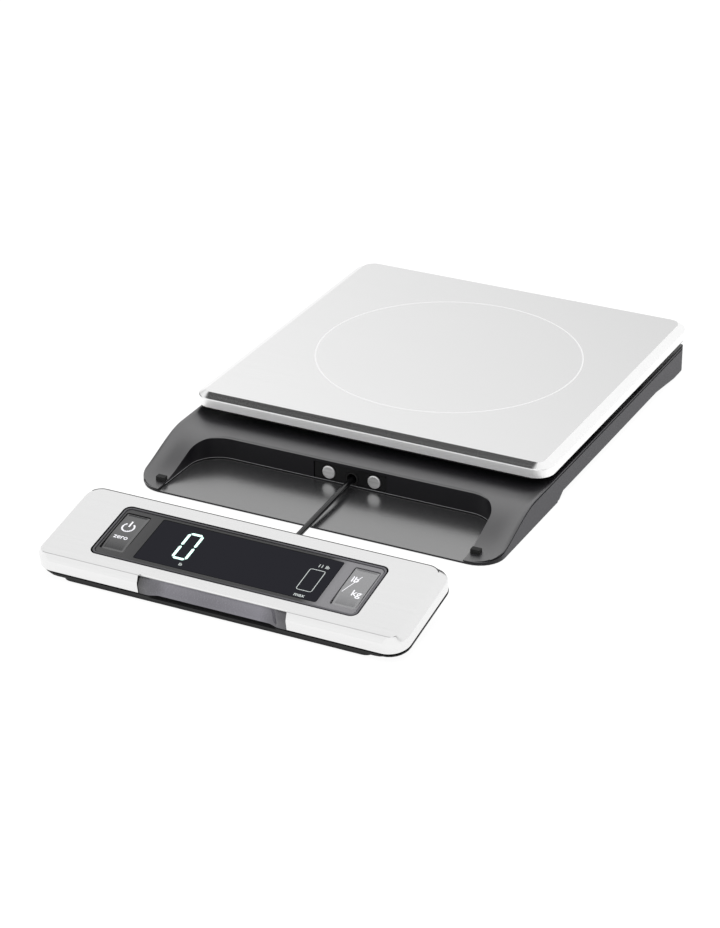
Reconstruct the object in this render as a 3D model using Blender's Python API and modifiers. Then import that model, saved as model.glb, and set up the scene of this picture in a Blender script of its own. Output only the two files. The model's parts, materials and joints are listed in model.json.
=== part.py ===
"""Kitchen scale with a pull-out display, built from its separate pieces.

Lengths are metres and +Z is up.  X runs across the scale, -Y points to the
person who reads the display.  The empty scale_frame holds every piece, so a
piece's own y is measured from the front edge of the weighing platform.
The counter is at z = 0.
"""

import math

import bmesh
import bpy
from mathutils import Matrix

# Whole object ------------------------------------------------------------
PLATE_WIDTH = 0.1650
PLATE_DEPTH = 0.1673
HEIGHT = 0.0215
DISPLAY_REACH = 0.13611                 # front of the display, ahead of the platform
FRAME_Y = (DISPLAY_REACH - PLATE_DEPTH) / 2
GAP = 0.0003                            # air between pieces that touch

# Weighing platform -------------------------------------------------------
PLATE_CORNERS = (0.0080, 0.0105)         # outer edge, front and rear
PLATE_TOP_CORNERS = (0.0030, 0.0055)     # flat top, front and rear
PLATE_SIDE = 0.0039                     # height of the vertical rim
PLATE_BEVEL = 0.00377                   # sloped edge, seen from above
PLATE_BEVEL_DROP = 0.00188
STEEL = 0.0008
PLATE_RIM = HEIGHT - PLATE_BEVEL_DROP - PLATE_SIDE
SUPPORT_BOTTOM = PLATE_RIM - 0.0008
SUPPORT_TOP = SUPPORT_BOTTOM + 0.0035
PAD_SPOT = (0.055, 0.030, 0.137)        # half spacing across, front row, rear row

# Base --------------------------------------------------------------------
BASE_HALF = 0.0829
LEFT_INSET = 0.0018                     # the left side stands this much further in
BASE_FRONT = -0.0530
BASE_REAR = 0.1600
BASE_FRONT_CORNER = 0.0115
BASE_REAR_CORNER = 0.0060
SKIRT_BOTTOM = 0.0016
ARCH_BOTTOM = 0.0040                    # raised lower edge along each side
ARCH_RUN = (0.0130, 0.0170, 0.1235, 0.1450)  # step up, level start, level end, foot block
ROOF = 0.0115                           # flat top of the base under the platform
ROOF_SKIN = 0.0018
WALL = 0.0018
RIDGE = 0.0133                          # side edge of the base's top
RIDGE_FALL = 0.0099
RIDGE_RUN = (-0.0120, -0.0520)
DISH_FALL = 0.0093
DISH_RUN = (-0.0120, -0.0510)
DISH_INNER, DISH_OUTER, DISH_POWER = 0.0690, 0.0821, 3.0
ARM_INNER = 0.0690                      # inside wall of each front arm
ARM_FLARE = 0.0006
DOCK_WALL = -0.0140
DOCK_CORNER = 0.0135
FLOOR_BOTTOM, FLOOR_TOP = 0.0005, 0.0013
GROOVE_BELOW, GROOVE_WIDTH, GROOVE_DEPTH = 0.0006, 0.0006, 0.0005
PEG_X, PEG_Y, PEG_TOP = (0.0698, 0.0738), (-0.0469, -0.0443), 0.0043
PAN_HALF = 0.0780
PAN_WALL = 0.0012

# Electronics and batteries in the base -----------------------------------
CELL_SPOTS = [(side * 0.0600, y) for y in (0.0260, 0.1420) for side in (-1, 1)]
CELL_PLACES = ("front_left", "front_right", "rear_left", "rear_right")
CELL_SIZE = 0.0260
CELL_SEAT, CELL_THICK = 0.0030, 0.0020
BUTTON_RADIUS = 0.0030
WEIGH_TRAVEL = 0.0005
BATTERY_RADIUS, BATTERY_LENGTH = 0.0052, 0.0445
BATTERY_PITCH = 0.0112
BATTERY_FIRST_X, BATTERY_REAR_Y = 0.0156, 0.1049
BATTERY_Z = 0.0069
BAY = (0.0100, 0.0548, 0.0590, 0.1066)  # opening: x low, x high, y low, y high
BAY_ROOF = 0.0125
BAY_SKIN = 0.0014
SCREW_SPOTS = [(-0.0700, 0.0060), (0.0700, 0.0060), (-0.0700, 0.1220), (0.0700, 0.1220)]
FOOT_SPOTS = [(-0.0751, -0.0300), (0.0751, -0.0300), (-0.0700, 0.1470), (0.0700, 0.1470)]
FOOT_RADIUS, FOOT_HEIGHT = 0.0036, 0.0017

# Display -----------------------------------------------------------------
TILT = math.radians(11.36)
FACE_HALF, FACE_FRONT, FACE_REAR = 0.0775, -0.0437, -0.0001  # flat sloped face, inside its bevels
RIM_HALF, RIM_FRONT, RIM_REAR = 0.0803, -0.04545, 0.0024
RIM_CORNERS, FACE_CORNERS = (0.0085, 0.0075), (0.0034, 0.0060)
DISPLAY_BACK = (0.0018, -0.09226, 0.0200)  # middle of the sloped face's rear edge
COVER_DEPTH = 0.0078
FLANGE_INSET, FLANGE_INSET_LEFT = 0.0, 0.0018  # behind the cover's edge
FLANGE_TOP, FLANGE_BOTTOM = -COVER_DEPTH - GAP, -COVER_DEPTH - 0.0009
LIP_REAR, LIP_BOTTOM, LIP_INSET = -0.0280, -COVER_DEPTH - 0.0015, 0.0030
BODY_HALF = 0.0676
BODY_REAR, BODY_FRONT = -0.09976, -0.1347
BODY_BOTTOM = 0.0008
BODY_SKIN = 0.0014
BEZEL = (0.0580, -0.0067, -0.0375)      # half width, rear edge, front edge
WINDOW = (0.0397, -0.00945, -0.03435)
BUTTON = (0.0452, 0.0556, -0.0105, -0.0330)
BUTTON_CROWN = (0.0008, 0.0002)         # fall from the middle of a button to its front, and to its rear
GRIP_HALF, GRIP_TOP = 0.0320, -0.0428    # half width, and where the face ends above it
SLIDE = (-0.0018, 0.08526, 0.0032)     # from the place on the counter to the dock

# Cord --------------------------------------------------------------------
CORD_RADIUS = 0.0012
CORD_HEIGHT = 0.0016                    # where it leaves the display
CORD_SHIFT = 0.0012                     # to the right of the display's middle
RELIEF_LENGTH = 0.0070
LEAD_END = -0.0060
COIL_RADIUS = 0.0032
COIL_REACH = (-0.0030, 0.1260)
COIL_HEIGHT = 0.0053

# Dock port in the cavity wall --------------------------------------------
PORT_HALF, PORT_LOW, PORT_HIGH = 0.0165, 0.0020, 0.0092
MAGNET_RADIUS, MAGNET_HALF_SPACING, MAGNET_HEIGHT = 0.0030, 0.0105, 0.0054
MAGNET_MIDDLE = 0.0005
GROMMET_X, GROMMET_BORE = 0.0008, 0.0023


def clear_scene():
    for item in list(bpy.data.objects):
        bpy.data.objects.remove(item, do_unlink=True)


def collection(name):
    group = bpy.data.collections.new(name)
    bpy.context.scene.collection.children.link(group)
    return group


def material(name, colour, roughness, metallic=0.0):
    paint = bpy.data.materials.new(name)
    paint.use_nodes = True
    shader = paint.node_tree.nodes["Principled BSDF"]
    shader.inputs["Base Color"].default_value = (*colour, 1.0)
    shader.inputs["Roughness"].default_value = roughness
    shader.inputs["Metallic"].default_value = metallic
    return paint


clear_scene()
PIECES = collection("kitchen_scale")
CUTTERS = collection("cutters")
STEEL_FINISH = material("brushed_steel", (0.80, 0.80, 0.80), 0.32, 1.0)
HOUSING_PLASTIC = material("textured_charcoal", (0.10, 0.10, 0.11), 0.50)
FLOOR_PLASTIC = material("polished_charcoal", (0.07, 0.07, 0.08), 0.18)
BLACK_PLASTIC = material("black_plastic", (0.02, 0.02, 0.02), 0.40)
BEZEL_PLASTIC = material("bezel_grey", (0.13, 0.13, 0.14), 0.35)
WINDOW_GLOSS = material("window_black", (0.01, 0.01, 0.012), 0.06)
RUBBER = material("rubber", (0.03, 0.03, 0.03), 0.80)
SILICONE = material("silicone", (0.55, 0.55, 0.55), 0.60)
BOARD_GREEN = material("circuit_board", (0.02, 0.12, 0.06), 0.45)
BRIGHT_METAL = material("nickel", (0.75, 0.75, 0.73), 0.25, 1.0)
BATTERY_WRAP = material("battery_wrap", (0.10, 0.13, 0.17), 0.30)
CORD_JACKET = material("cord_jacket", (0.03, 0.03, 0.03), 0.45)


def frame(name, location, parent=None, tilt=0.0):
    empty = bpy.data.objects.new(name, None)
    empty.location = location
    empty.rotation_euler = (tilt, 0.0, 0.0)
    empty.parent = parent
    PIECES.objects.link(empty)
    return empty


SCALE = frame("scale_frame", (0.0, FRAME_Y, 0.0))
DISPLAY = frame("display_frame", DISPLAY_BACK, SCALE, TILT)


def add(name, mesh, paint, parent=None):
    """A piece in the object's collection, shaded smooth except at real edges."""
    item = bpy.data.objects.new(name, mesh)
    mesh.materials.clear()
    mesh.materials.append(paint)
    mesh.shade_smooth()
    mesh.set_sharp_from_angle(angle=math.radians(35))
    item.parent = parent or SCALE
    PIECES.objects.link(item)
    return item


def mesh_from(bm, name):
    bmesh.ops.recalc_face_normals(bm, faces=bm.faces)
    mesh = bpy.data.meshes.new(name)
    bm.to_mesh(mesh)
    bm.free()
    return mesh


def boolean(target, tools, operation):
    for tool in tools:
        for group in list(tool.users_collection):
            group.objects.unlink(tool)
        CUTTERS.objects.link(tool)
        tool.hide_render = True
        tool.display_type = "WIRE"
        step = target.modifiers.new(tool.name, "BOOLEAN")
        step.operation = operation
        step.object = tool
        step.solver = "EXACT"
    return target


def cut(target, *tools):
    return boolean(target, tools, "DIFFERENCE")


def join(target, *tools):
    return boolean(target, tools, "UNION")


def box(name, xs, ys, zs, paint=HOUSING_PLASTIC, parent=None):
    bm = bmesh.new()
    bmesh.ops.create_cube(bm, size=1.0)
    size = Matrix.Diagonal((xs[1] - xs[0], ys[1] - ys[0], zs[1] - zs[0], 1.0))
    place = Matrix.Translation(((xs[0] + xs[1]) / 2, (ys[0] + ys[1]) / 2, (zs[0] + zs[1]) / 2))
    bm.transform(place @ size)
    return add(name, mesh_from(bm, name), paint, parent)


def cone(name, spot, zs, radii, paint=HOUSING_PLASTIC, parent=None, sides=20, along_y=False):
    """A turned piece between two heights, or between two depths with along_y."""
    bm = bmesh.new()
    bmesh.ops.create_cone(bm, cap_ends=True, segments=sides, radius1=radii[0],
                          radius2=radii[1], depth=zs[1] - zs[0])
    middle = (zs[0] + zs[1]) / 2
    if along_y:
        turn = Matrix.Rotation(-math.pi / 2, 4, "X")
        place = Matrix.Translation((spot[0], middle, spot[1])) @ turn
    else:
        place = Matrix.Translation((spot[0], spot[1], middle))
    bm.transform(place)
    return add(name, mesh_from(bm, name), paint, parent)


def rod(name, spot, zs, radius, paint=HOUSING_PLASTIC, parent=None, sides=20, along_y=False):
    return cone(name, spot, zs, (radius, radius), paint, parent, sides, along_y)


def arc(centre, radius, start, end, steps):
    """Points on part of a circle, with angles in quarter turns."""
    points = []
    for step in range(steps + 1):
        angle = math.radians(90.0 * (start + (end - start) * step / steps))
        points.append((centre[0] + radius * math.cos(angle), centre[1] + radius * math.sin(angle)))
    return points


def rounded(xs, ys, front_radius, rear_radius=None, steps=6):
    """Outline of a rectangle whose front and rear corners are rounded."""
    rear = front_radius if rear_radius is None else rear_radius
    front = front_radius
    return (arc((xs[1] - rear, ys[1] - rear), rear, 0, 1, steps)
            + arc((xs[0] + rear, ys[1] - rear), rear, 1, 2, steps)
            + arc((xs[0] + front, ys[0] + front), front, 2, 3, steps)
            + arc((xs[1] - front, ys[0] + front), front, 3, 4, steps))


def slab(name, outline, zs, paint=HOUSING_PLASTIC, parent=None, holes=(), upright=False):
    """A flat plate; upright turns its outline into x and z and its zs into depths."""
    curve = bpy.data.curves.new(name, "CURVE")
    curve.dimensions = "2D"
    curve.fill_mode = "BOTH"
    curve.extrude = (zs[1] - zs[0]) / 2
    for loop in (outline, *holes):
        spline = curve.splines.new("POLY")
        spline.points.add(len(loop) - 1)
        for point, (x, y) in zip(spline.points, loop):
            point.co = (x, y, 0.0, 1.0)
        spline.use_cyclic_u = True
    guide = bpy.data.objects.new(name + "_outline", curve)
    bpy.context.scene.collection.objects.link(guide)
    evaluated = guide.evaluated_get(bpy.context.evaluated_depsgraph_get())
    flat = bpy.data.meshes.new_from_object(evaluated)
    bpy.data.objects.remove(guide, do_unlink=True)
    bm = bmesh.new()
    bm.from_mesh(flat)
    bpy.data.meshes.remove(flat)
    bmesh.ops.remove_doubles(bm, verts=bm.verts, dist=0.00001)
    if upright:
        bm.transform(Matrix.Translation((0, (zs[0] + zs[1]) / 2, 0)) @ Matrix.Rotation(math.pi / 2, 4, "X"))
    else:
        bm.transform(Matrix.Translation((0, 0, (zs[0] + zs[1]) / 2)))
    return add(name, mesh_from(bm, name), paint, parent)


def loft(name, rings, paint=HOUSING_PLASTIC, parent=None, open_first=False):
    """A skin through rings of the same number of points, closed at both ends."""
    bm = bmesh.new()
    rows = [[bm.verts.new(point) for point in ring] for ring in rings]
    if not open_first:
        bm.faces.new(rows[0])
    bm.faces.new(rows[-1])
    for low, high in zip(rows, rows[1:]):
        for index in range(len(low)):
            after = (index + 1) % len(low)
            bm.faces.new((low[index], low[after], high[after], high[index]))
    return add(name, mesh_from(bm, name), paint, parent)


def pressed_cover(name, rings, paint, parent=None, steps=7):
    """A sheet cover, open below; each ring is (x span, y span, front radius, rear radius, height)."""
    loops = []
    for xs, ys, front, rear, height in rings:
        loops.append([(x, y, height) for x, y in rounded(xs, ys, front, rear, steps)])
    cover = loft(name, loops, paint, parent, open_first=True)
    shell = cover.modifiers.new("sheet", "SOLIDIFY")
    shell.thickness = STEEL
    shell.offset = -1.0
    shell.use_even_offset = True
    return cover


def ease(y, run):
    """0 to 1 along a run in y, with level ends."""
    share = min(max((y - run[0]) / (run[1] - run[0]), 0.0), 1.0)
    return share * share * (3.0 - 2.0 * share)


def ridge_height(y):
    return RIDGE - RIDGE_FALL * ease(y, RIDGE_RUN)


def dish_height(y):
    return ROOF - DISH_FALL * ease(y, DISH_RUN)


# Weighing platform -------------------------------------------------------

def platform():
    half = PLATE_WIDTH / 2
    outer, depth = (-half, half), (0.0, PLATE_DEPTH)
    flat = (-half + PLATE_BEVEL, half - PLATE_BEVEL)
    pressed_cover("platform_cover",
                  [(outer, depth, *PLATE_CORNERS, PLATE_RIM),
                   (outer, depth, *PLATE_CORNERS, PLATE_RIM + PLATE_SIDE),
                   (flat, (PLATE_BEVEL, PLATE_DEPTH - PLATE_BEVEL), *PLATE_TOP_CORNERS, HEIGHT)],
                  STEEL_FINISH)
    lip, core = 0.0005, STEEL + GAP
    support = slab("platform_support",
                   rounded((-half + lip, half - lip), (lip, PLATE_DEPTH - lip), PLATE_CORNERS[1] - lip),
                   (SUPPORT_BOTTOM, PLATE_RIM - GAP), BLACK_PLASTIC)
    join(support, slab("support_core",
                       rounded((-half + core, half - core), (core, PLATE_DEPTH - core), PLATE_CORNERS[1] - core),
                       (SUPPORT_BOTTOM + 0.0001, SUPPORT_TOP)))
    pocket_floor = SUPPORT_TOP - 0.0012
    for number, ys in enumerate([(0.0060, 0.0140), (0.0400, 0.0820), (0.0860, 0.1280), (0.1530, 0.1610)]):
        for side, xs in (("left", (-0.0740, -0.0040)), ("right", (0.0040, 0.0740))):
            cut(support, box(f"support_pocket_{number}_{side}", xs, ys, (0.0, pocket_floor)))
    across, front, rear = PAD_SPOT
    spots = [(-across, front), (across, front), (-across, rear), (across, rear)]
    for place, spot in zip(CELL_PLACES, spots):
        rod(f"platform_pad_{place}", spot, (SUPPORT_TOP + GAP, HEIGHT - STEEL - GAP), 0.0050, SILICONE)
    for place, spot in zip(CELL_PLACES, CELL_SPOTS):
        cone(f"load_button_{place}", spot,
             (CELL_SEAT + CELL_THICK + WEIGH_TRAVEL + GAP, SUPPORT_BOTTOM - GAP),
             (BUTTON_RADIUS * 0.7, BUTTON_RADIUS), BLACK_PLASTIC)


# Base --------------------------------------------------------------------

def deck_cutter():
    """Everything above the base's top: level at the rear, falling along the arms."""
    shares = (0.0, 0.26, 0.52, 0.75, 0.90, 1.0, 1.16)
    stations = [BASE_FRONT - 0.0030 + 0.0035 * step for step in range(14)] + [BASE_REAR + 0.0030]
    rings = []
    for y in stations:
        low, high = dish_height(y), ridge_height(y)
        right = []
        left = []
        for share in shares:
            z = low + (high - low) * min(share, 1.0) ** DISH_POWER
            right.append((DISH_INNER + (DISH_OUTER - DISH_INNER) * share, z))
            left.insert(0, (-DISH_INNER - (DISH_OUTER - LEFT_INSET - DISH_INNER) * share, z))
        ring = left + right + [(right[-1][0], 0.030), (left[0][0], 0.030)]
        rings.append([(x, y, z) for x, z in ring])
    return loft("deck_cutter", rings)


def dock_outline(grow=0.0):
    """Plan of the space between the arms, open past the front."""
    front, wall = BASE_FRONT - 0.0100, DOCK_WALL + grow
    half, radius = ARM_INNER + grow, DOCK_CORNER + grow
    return ([(-half - ARM_FLARE, front), (half + ARM_FLARE, front)]
            + arc((half - radius, wall - radius), radius, 0, 1, 8)
            + arc((-half + radius, wall - radius), radius, 1, 2, 8))


def dock_cutter():
    """The dock's space, widened at the top so that the wall ends in a rounded edge."""
    rings = []
    for grow, z in ((0.0, -0.0100), (0.0, ROOF - 0.0009), (0.0001, ROOF - 0.0005), (0.0004, ROOF - 0.0002),
                    (0.0010, ROOF + 0.0001), (0.0010, 0.0300)):
        rings.append([(x, y, z) for x, y in dock_outline(grow)])
    return loft("dock_cutter", rings)


def rim_grooves():
    """A shadow groove just under each side's top edge, and round the front corners."""
    middle = (BASE_HALF - BASE_FRONT_CORNER, BASE_FRONT + BASE_FRONT_CORNER)
    stops = [0.1620, 0.0900, 0.0200, 0.0000] + [-0.0040 * step for step in range(1, 11)]
    path = [((BASE_HALF, y), (1.0, 0.0)) for y in stops]
    for step in range(8):
        angle = math.radians(-80.0 * step / 7)
        out = (math.cos(angle), math.sin(angle))
        path.append(((middle[0] + BASE_FRONT_CORNER * out[0], middle[1] + BASE_FRONT_CORNER * out[1]), out))
    grooves = []
    for side in (-1, 1):
        rings = []
        for (x, y), (out_x, out_y) in path:
            top = ridge_height(y) - GROOVE_BELOW
            ring = []
            for away, z in ((-GROOVE_DEPTH, top - GROOVE_WIDTH), (0.0015, top - GROOVE_WIDTH), (0.0015, top),
                            (-GROOVE_DEPTH, top)):
                inset = LEFT_INSET if side < 0 else 0.0
                ring.append((side * (x - inset + away * out_x), y + away * out_y, z))
            rings.append(ring)
        grooves.append(loft(f"rim_groove_{side}", rings))
    return grooves


def base_housing():
    housing = slab("base_housing",
                   rounded((-BASE_HALF + LEFT_INSET, BASE_HALF), (BASE_FRONT, BASE_REAR), BASE_FRONT_CORNER,
                           BASE_REAR_CORNER, steps=8),
                   (SKIRT_BOTTOM, 0.0140))
    cut(housing, deck_cutter())
    bay = (BAY[0] - 0.0019, BAY[1] + 0.0019, BAY[2] - 0.0019, BAY[3] + 0.0019)
    join(housing, box("battery_boss", bay[:2], bay[2:], (ROOF - 0.0010, BAY_ROOF + BAY_SKIN)))
    cut(housing, dock_cutter(), *rim_grooves())
    inner = PAN_HALF + 0.0015
    cut(housing,
        slab("base_hollow", rounded((-inner, inner), (DOCK_WALL + WALL, BASE_REAR - WALL), 0.0030, steps=2),
             (-0.0100, ROOF - ROOF_SKIN)),
        box("battery_hollow", (BAY[0] - 0.0004, BAY[1] + 0.0004), (BAY[2] - 0.0004, BAY[3] + 0.0004),
            (0.0, BAY_ROOF)))
    for side in (-1, 1):
        xs = sorted((side * (PAN_HALF - 0.0010), side * (BASE_HALF + 0.0050)))
        start, level, fall, end = ARCH_RUN
        run = [(start, -0.0010), (end, -0.0010), (end, SKIRT_BOTTOM), (fall, ARCH_BOTTOM), (level, ARCH_BOTTOM),
               (start, SKIRT_BOTTOM)]
        cut(housing, loft(f"side_arch_{side}", [[(x, y, z) for y, z in run] for x in xs]))
        cut(housing, rod(f"arm_pocket_{side}", (side * FOOT_SPOTS[1][0], FOOT_SPOTS[1][1]),
                         (0.0, 0.0040), 0.0051))
    port = 0.0003
    cut(housing, box("port_opening", (-PORT_HALF - port, PORT_HALF + port),
                     (DOCK_WALL - 0.0050, DOCK_WALL + 0.0050), (PORT_LOW - port, PORT_HIGH + port)))
    for number, spot in enumerate(SCREW_SPOTS):
        boss = rod(f"housing_boss_{number}", spot, (0.0042, ROOF - ROOF_SKIN + 0.0002), 0.0034)
        join(housing, boss)
        cut(housing, rod(f"housing_boss_hole_{number}", spot, (0.0, 0.0085), 0.0016))
    for number, spot in enumerate(CELL_SPOTS):
        cut(housing, rod(f"load_button_hole_{number}", spot, (0.0080, 0.0120), 0.0045))


def pan_outline():
    """Plan of the bottom: full width in front, drawn in behind the side arches."""
    half, step_y = BASE_HALF - 0.0004, ARCH_RUN[0] - 0.0005
    front = BASE_FRONT + 0.0003
    radius, left = BASE_FRONT_CORNER - 0.0003, -half + LEFT_INSET
    return (arc((PAN_HALF - 0.0040, BASE_REAR - 0.0075), 0.0040, 0, 1, 4)
            + arc((-PAN_HALF + 0.0040, BASE_REAR - 0.0075), 0.0040, 1, 2, 4)
            + [(-PAN_HALF, step_y), (left, step_y)]
            + arc((left + radius, front + radius), radius, 2, 3, 8)
            + arc((half - radius, front + radius), radius, 3, 4, 8)
            + [(half, step_y), (PAN_HALF, step_y)])


def base_bottom():
    bottom = slab("base_bottom", pan_outline(), (FLOOR_BOTTOM, FLOOR_TOP), FLOOR_PLASTIC)
    rear = BASE_REAR - 0.0035
    front = DOCK_WALL + WALL + 0.0006
    wall = slab("pan_wall", rounded((-PAN_HALF, PAN_HALF), (front, rear), 0.0030, steps=3),
                (FLOOR_TOP - 0.0002, 0.0060),
                holes=[rounded((-PAN_HALF + PAN_WALL, PAN_HALF - PAN_WALL),
                               (front + PAN_WALL, rear - PAN_WALL), 0.0018, steps=3)])
    join(bottom, wall)
    cut(bottom, box("cord_gate", (-PORT_HALF - 0.001, PORT_HALF + 0.001), (front - 0.002, front + 0.003),
                    (FLOOR_TOP + 0.0002, 0.0080)))
    for number, spot in enumerate(CELL_SPOTS):
        join(bottom, rod(f"cell_seat_{number}", (spot[0], spot[1] - 0.0100), (FLOOR_TOP - 0.0002, CELL_SEAT - GAP),
                         0.0024, sides=12),
             rod(f"cell_seat_rear_{number}", (spot[0], spot[1] + 0.0100),
                 (FLOOR_TOP - 0.0002, CELL_SEAT - GAP), 0.0024, sides=12))
    for number, spot in enumerate(SCREW_SPOTS):
        join(bottom, rod(f"screw_boss_{number}", spot, (FLOOR_TOP - 0.0002, 0.0039), 0.0044))
        cut(bottom, rod(f"screw_head_hole_{number}", spot, (0.0, 0.0027), 0.0028),
            rod(f"screw_hole_{number}", spot, (0.0, 0.0060), 0.0016))
    for number, spot in enumerate(FOOT_SPOTS):
        join(bottom, rod(f"foot_boss_{number}", spot, (FLOOR_TOP - 0.0002, 0.0028), FOOT_RADIUS + 0.0010))
        cut(bottom, rod(f"foot_pocket_{number}", spot, (0.0, FOOT_HEIGHT + GAP), FOOT_RADIUS + GAP))
    for side in (-1, 1):
        xs = sorted((side * 0.0065, side * 0.0077))
        join(bottom, box(f"cord_rail_{side}", xs, (0.0040, 0.1300), (FLOOR_TOP - 0.0002, 0.0060)))
    for number, spot in enumerate([(-0.0560, 0.0640), (-0.0180, 0.0640), (-0.0560, 0.0920), (-0.0180, 0.0920)]):
        join(bottom, rod(f"board_post_{number}", spot, (FLOOR_TOP - 0.0002, 0.0037), 0.0020, sides=12))
    cut(bottom, box("battery_opening", BAY[:2], BAY[2:], (-0.0010, 0.0080)))


def battery_door():
    """Hinged at its rear lower edge, where its origin is."""
    door = box("battery_door", (BAY[0] + GAP, BAY[1] - GAP), (BAY[2] - BAY[3] + 2 * GAP, 0.0),
               (0.0, FLOOR_TOP - FLOOR_BOTTOM), FLOOR_PLASTIC)
    door.location = (0.0, BAY[3] - GAP, FLOOR_BOTTOM)
    cut(door, rod("door_finger_dent", ((BAY[0] + BAY[1]) / 2, BAY[2] - BAY[3] + 0.0060), (-0.0010, 0.0004),
                  0.0040))
    CUTTERS.objects["door_finger_dent"].location = door.location


def battery_set():
    front = BATTERY_REAR_Y - BATTERY_LENGTH
    for number in range(4):
        x = BATTERY_FIRST_X + BATTERY_PITCH * number
        reverse = number % 2 == 1
        cell = rod(f"battery_{number + 1}", (x, BATTERY_Z), (front + 0.0008, BATTERY_REAR_Y - 0.0008),
                   BATTERY_RADIUS, BATTERY_WRAP, along_y=True)
        nub = (front, front + 0.0010) if reverse else (BATTERY_REAR_Y - 0.0010, BATTERY_REAR_Y)
        join(cell, rod(f"battery_nub_{number}", (x, BATTERY_Z), nub, 0.0019, along_y=True, sides=12))
    low, high = BATTERY_FIRST_X - BATTERY_RADIUS, BATTERY_FIRST_X + 3 * BATTERY_PITCH + BATTERY_RADIUS
    for place, y in (("front", BAY[2] + 0.0004), ("rear", BAY[3] - 0.0010)):
        box(f"battery_contact_{place}", (low, high), (y, y + 0.0006), (0.0022, 0.0112), BRIGHT_METAL)


def load_cells():
    """Each cell is a steel plate with a tongue that the button presses."""
    for place, (x, y) in zip(CELL_PLACES, CELL_SPOTS):
        half = CELL_SIZE / 2
        plate = slab(f"load_cell_{place}", rounded((x - half, x + half), (y - half, y + half), 0.0030, steps=2),
                     (CELL_SEAT, CELL_SEAT + CELL_THICK), BRIGHT_METAL)
        for side in (-1, 1):
            xs = sorted((x + side * 0.0045, x + side * 0.0065))
            cut(plate, box(f"cell_slot_{place}_{side}", xs, (y - 0.0080, y + 0.0060), (0.0, 0.0100)))
        cut(plate, box(f"cell_slot_end_{place}", (x - 0.0065, x + 0.0065), (y + 0.0045, y + 0.0065),
                       (0.0, 0.0100)))


def base_fittings():
    board = box("main_board", (-0.0600, -0.0140), (0.0600, 0.0960), (0.0040, 0.0052), BOARD_GREEN)
    join(board, box("main_chip", (-0.0420, -0.0320), (0.0720, 0.0820), (0.0051, 0.0064)))
    for number, spot in enumerate(FOOT_SPOTS):
        rod(f"base_foot_{CELL_PLACES[number]}", spot, (0.0, FOOT_HEIGHT), FOOT_RADIUS, RUBBER)
    for number, spot in enumerate(SCREW_SPOTS):
        screw = rod(f"base_screw_{CELL_PLACES[number]}", spot, (0.0008, 0.0024), 0.0025, BRIGHT_METAL)
        join(screw, rod(f"screw_shank_{number}", spot, (0.0022, 0.0080), 0.0013, sides=12))
    for side, place in ((-1, "left"), (1, "right")):
        xs, play = sorted(side * x for x in PEG_X), 0.0001
        hole = box(f"peg_hole_{place}", (xs[0] - play, xs[1] + play), (PEG_Y[0] - play, PEG_Y[1] + play),
                   (0.0022, 0.0200))
        cut(bpy.data.objects["base_housing"], hole)
        box(f"dock_peg_{place}", xs, PEG_Y, (0.0023, PEG_TOP), RUBBER)
    ends = (DOCK_WALL + 0.0004, DOCK_WALL + 0.0016)
    panel = slab("cord_port_panel", rounded((-PORT_HALF, PORT_HALF), (PORT_LOW, PORT_HIGH), 0.0008, steps=2),
                 ends, BLACK_PLASTIC, upright=True)
    through = (DOCK_WALL - 0.0050, DOCK_WALL + 0.0050)
    for side, place in ((-1, "left"), (1, "right")):
        spot = (MAGNET_MIDDLE + side * MAGNET_HALF_SPACING, MAGNET_HEIGHT)
        cut(panel, rod(f"magnet_hole_{place}", spot, through, MAGNET_RADIUS + GAP, along_y=True))
        rod(f"dock_magnet_{place}", spot, (DOCK_WALL + 0.0001, DOCK_WALL + 0.0030), MAGNET_RADIUS, BRIGHT_METAL,
            along_y=True, sides=24)
    hole = (GROMMET_X, cord_height(DOCK_WALL))
    cut(panel, rod("grommet_hole", hole, through, GROMMET_BORE + 0.0008, along_y=True))
    grommet = rod("cord_grommet", hole, (DOCK_WALL + 0.0001, DOCK_WALL + 0.0024), GROMMET_BORE + 0.0005, RUBBER,
                  along_y=True)
    cut(grommet, rod("grommet_bore", hole, through, GROMMET_BORE, along_y=True))
    box("cord_anchor", (-0.0050, 0.0050), (COIL_REACH[1] + GAP, COIL_REACH[1] + 0.0050), (0.0016, 0.0085),
        BLACK_PLASTIC)


# Display -----------------------------------------------------------------

def display_shell():
    """The sheet cover: a flat sloped face, a bevel all round it and an upright side."""
    rim, depth = (-RIM_HALF, RIM_HALF), (RIM_FRONT, RIM_REAR)
    soft = 0.0003
    cover = pressed_cover(
        "display_cover",
        [(rim, depth, *RIM_CORNERS, -COVER_DEPTH), (rim, depth, *RIM_CORNERS, -0.0036),
         ((rim[0] + soft, rim[1] - soft), (depth[0] + soft, depth[1] - soft), 0.0081, 0.0072, -0.0029),
         ((-FACE_HALF, FACE_HALF), (FACE_FRONT, FACE_REAR), *FACE_CORNERS, 0.0)],
        STEEL_FINISH, DISPLAY)
    half, rear, front = BEZEL
    cut(cover, slab("bezel_opening", rounded((-half - GAP, half + GAP), (front - GAP, rear + GAP), 0.0033),
                    (-0.0050, 0.0050), parent=DISPLAY),
        box("grip_opening", (-GRIP_HALF - GAP, GRIP_HALF + GAP), (RIM_FRONT - 0.0050, GRIP_TOP),
            (-COVER_DEPTH - 0.0050, 0.0010), parent=DISPLAY),
        box("grip_room", (-GRIP_HALF - GAP, GRIP_HALF + GAP), (RIM_FRONT - 0.0050, GRIP_TOP + 0.0028),
            (-COVER_DEPTH - 0.0050, -STEEL - 0.0001), parent=DISPLAY))


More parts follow.
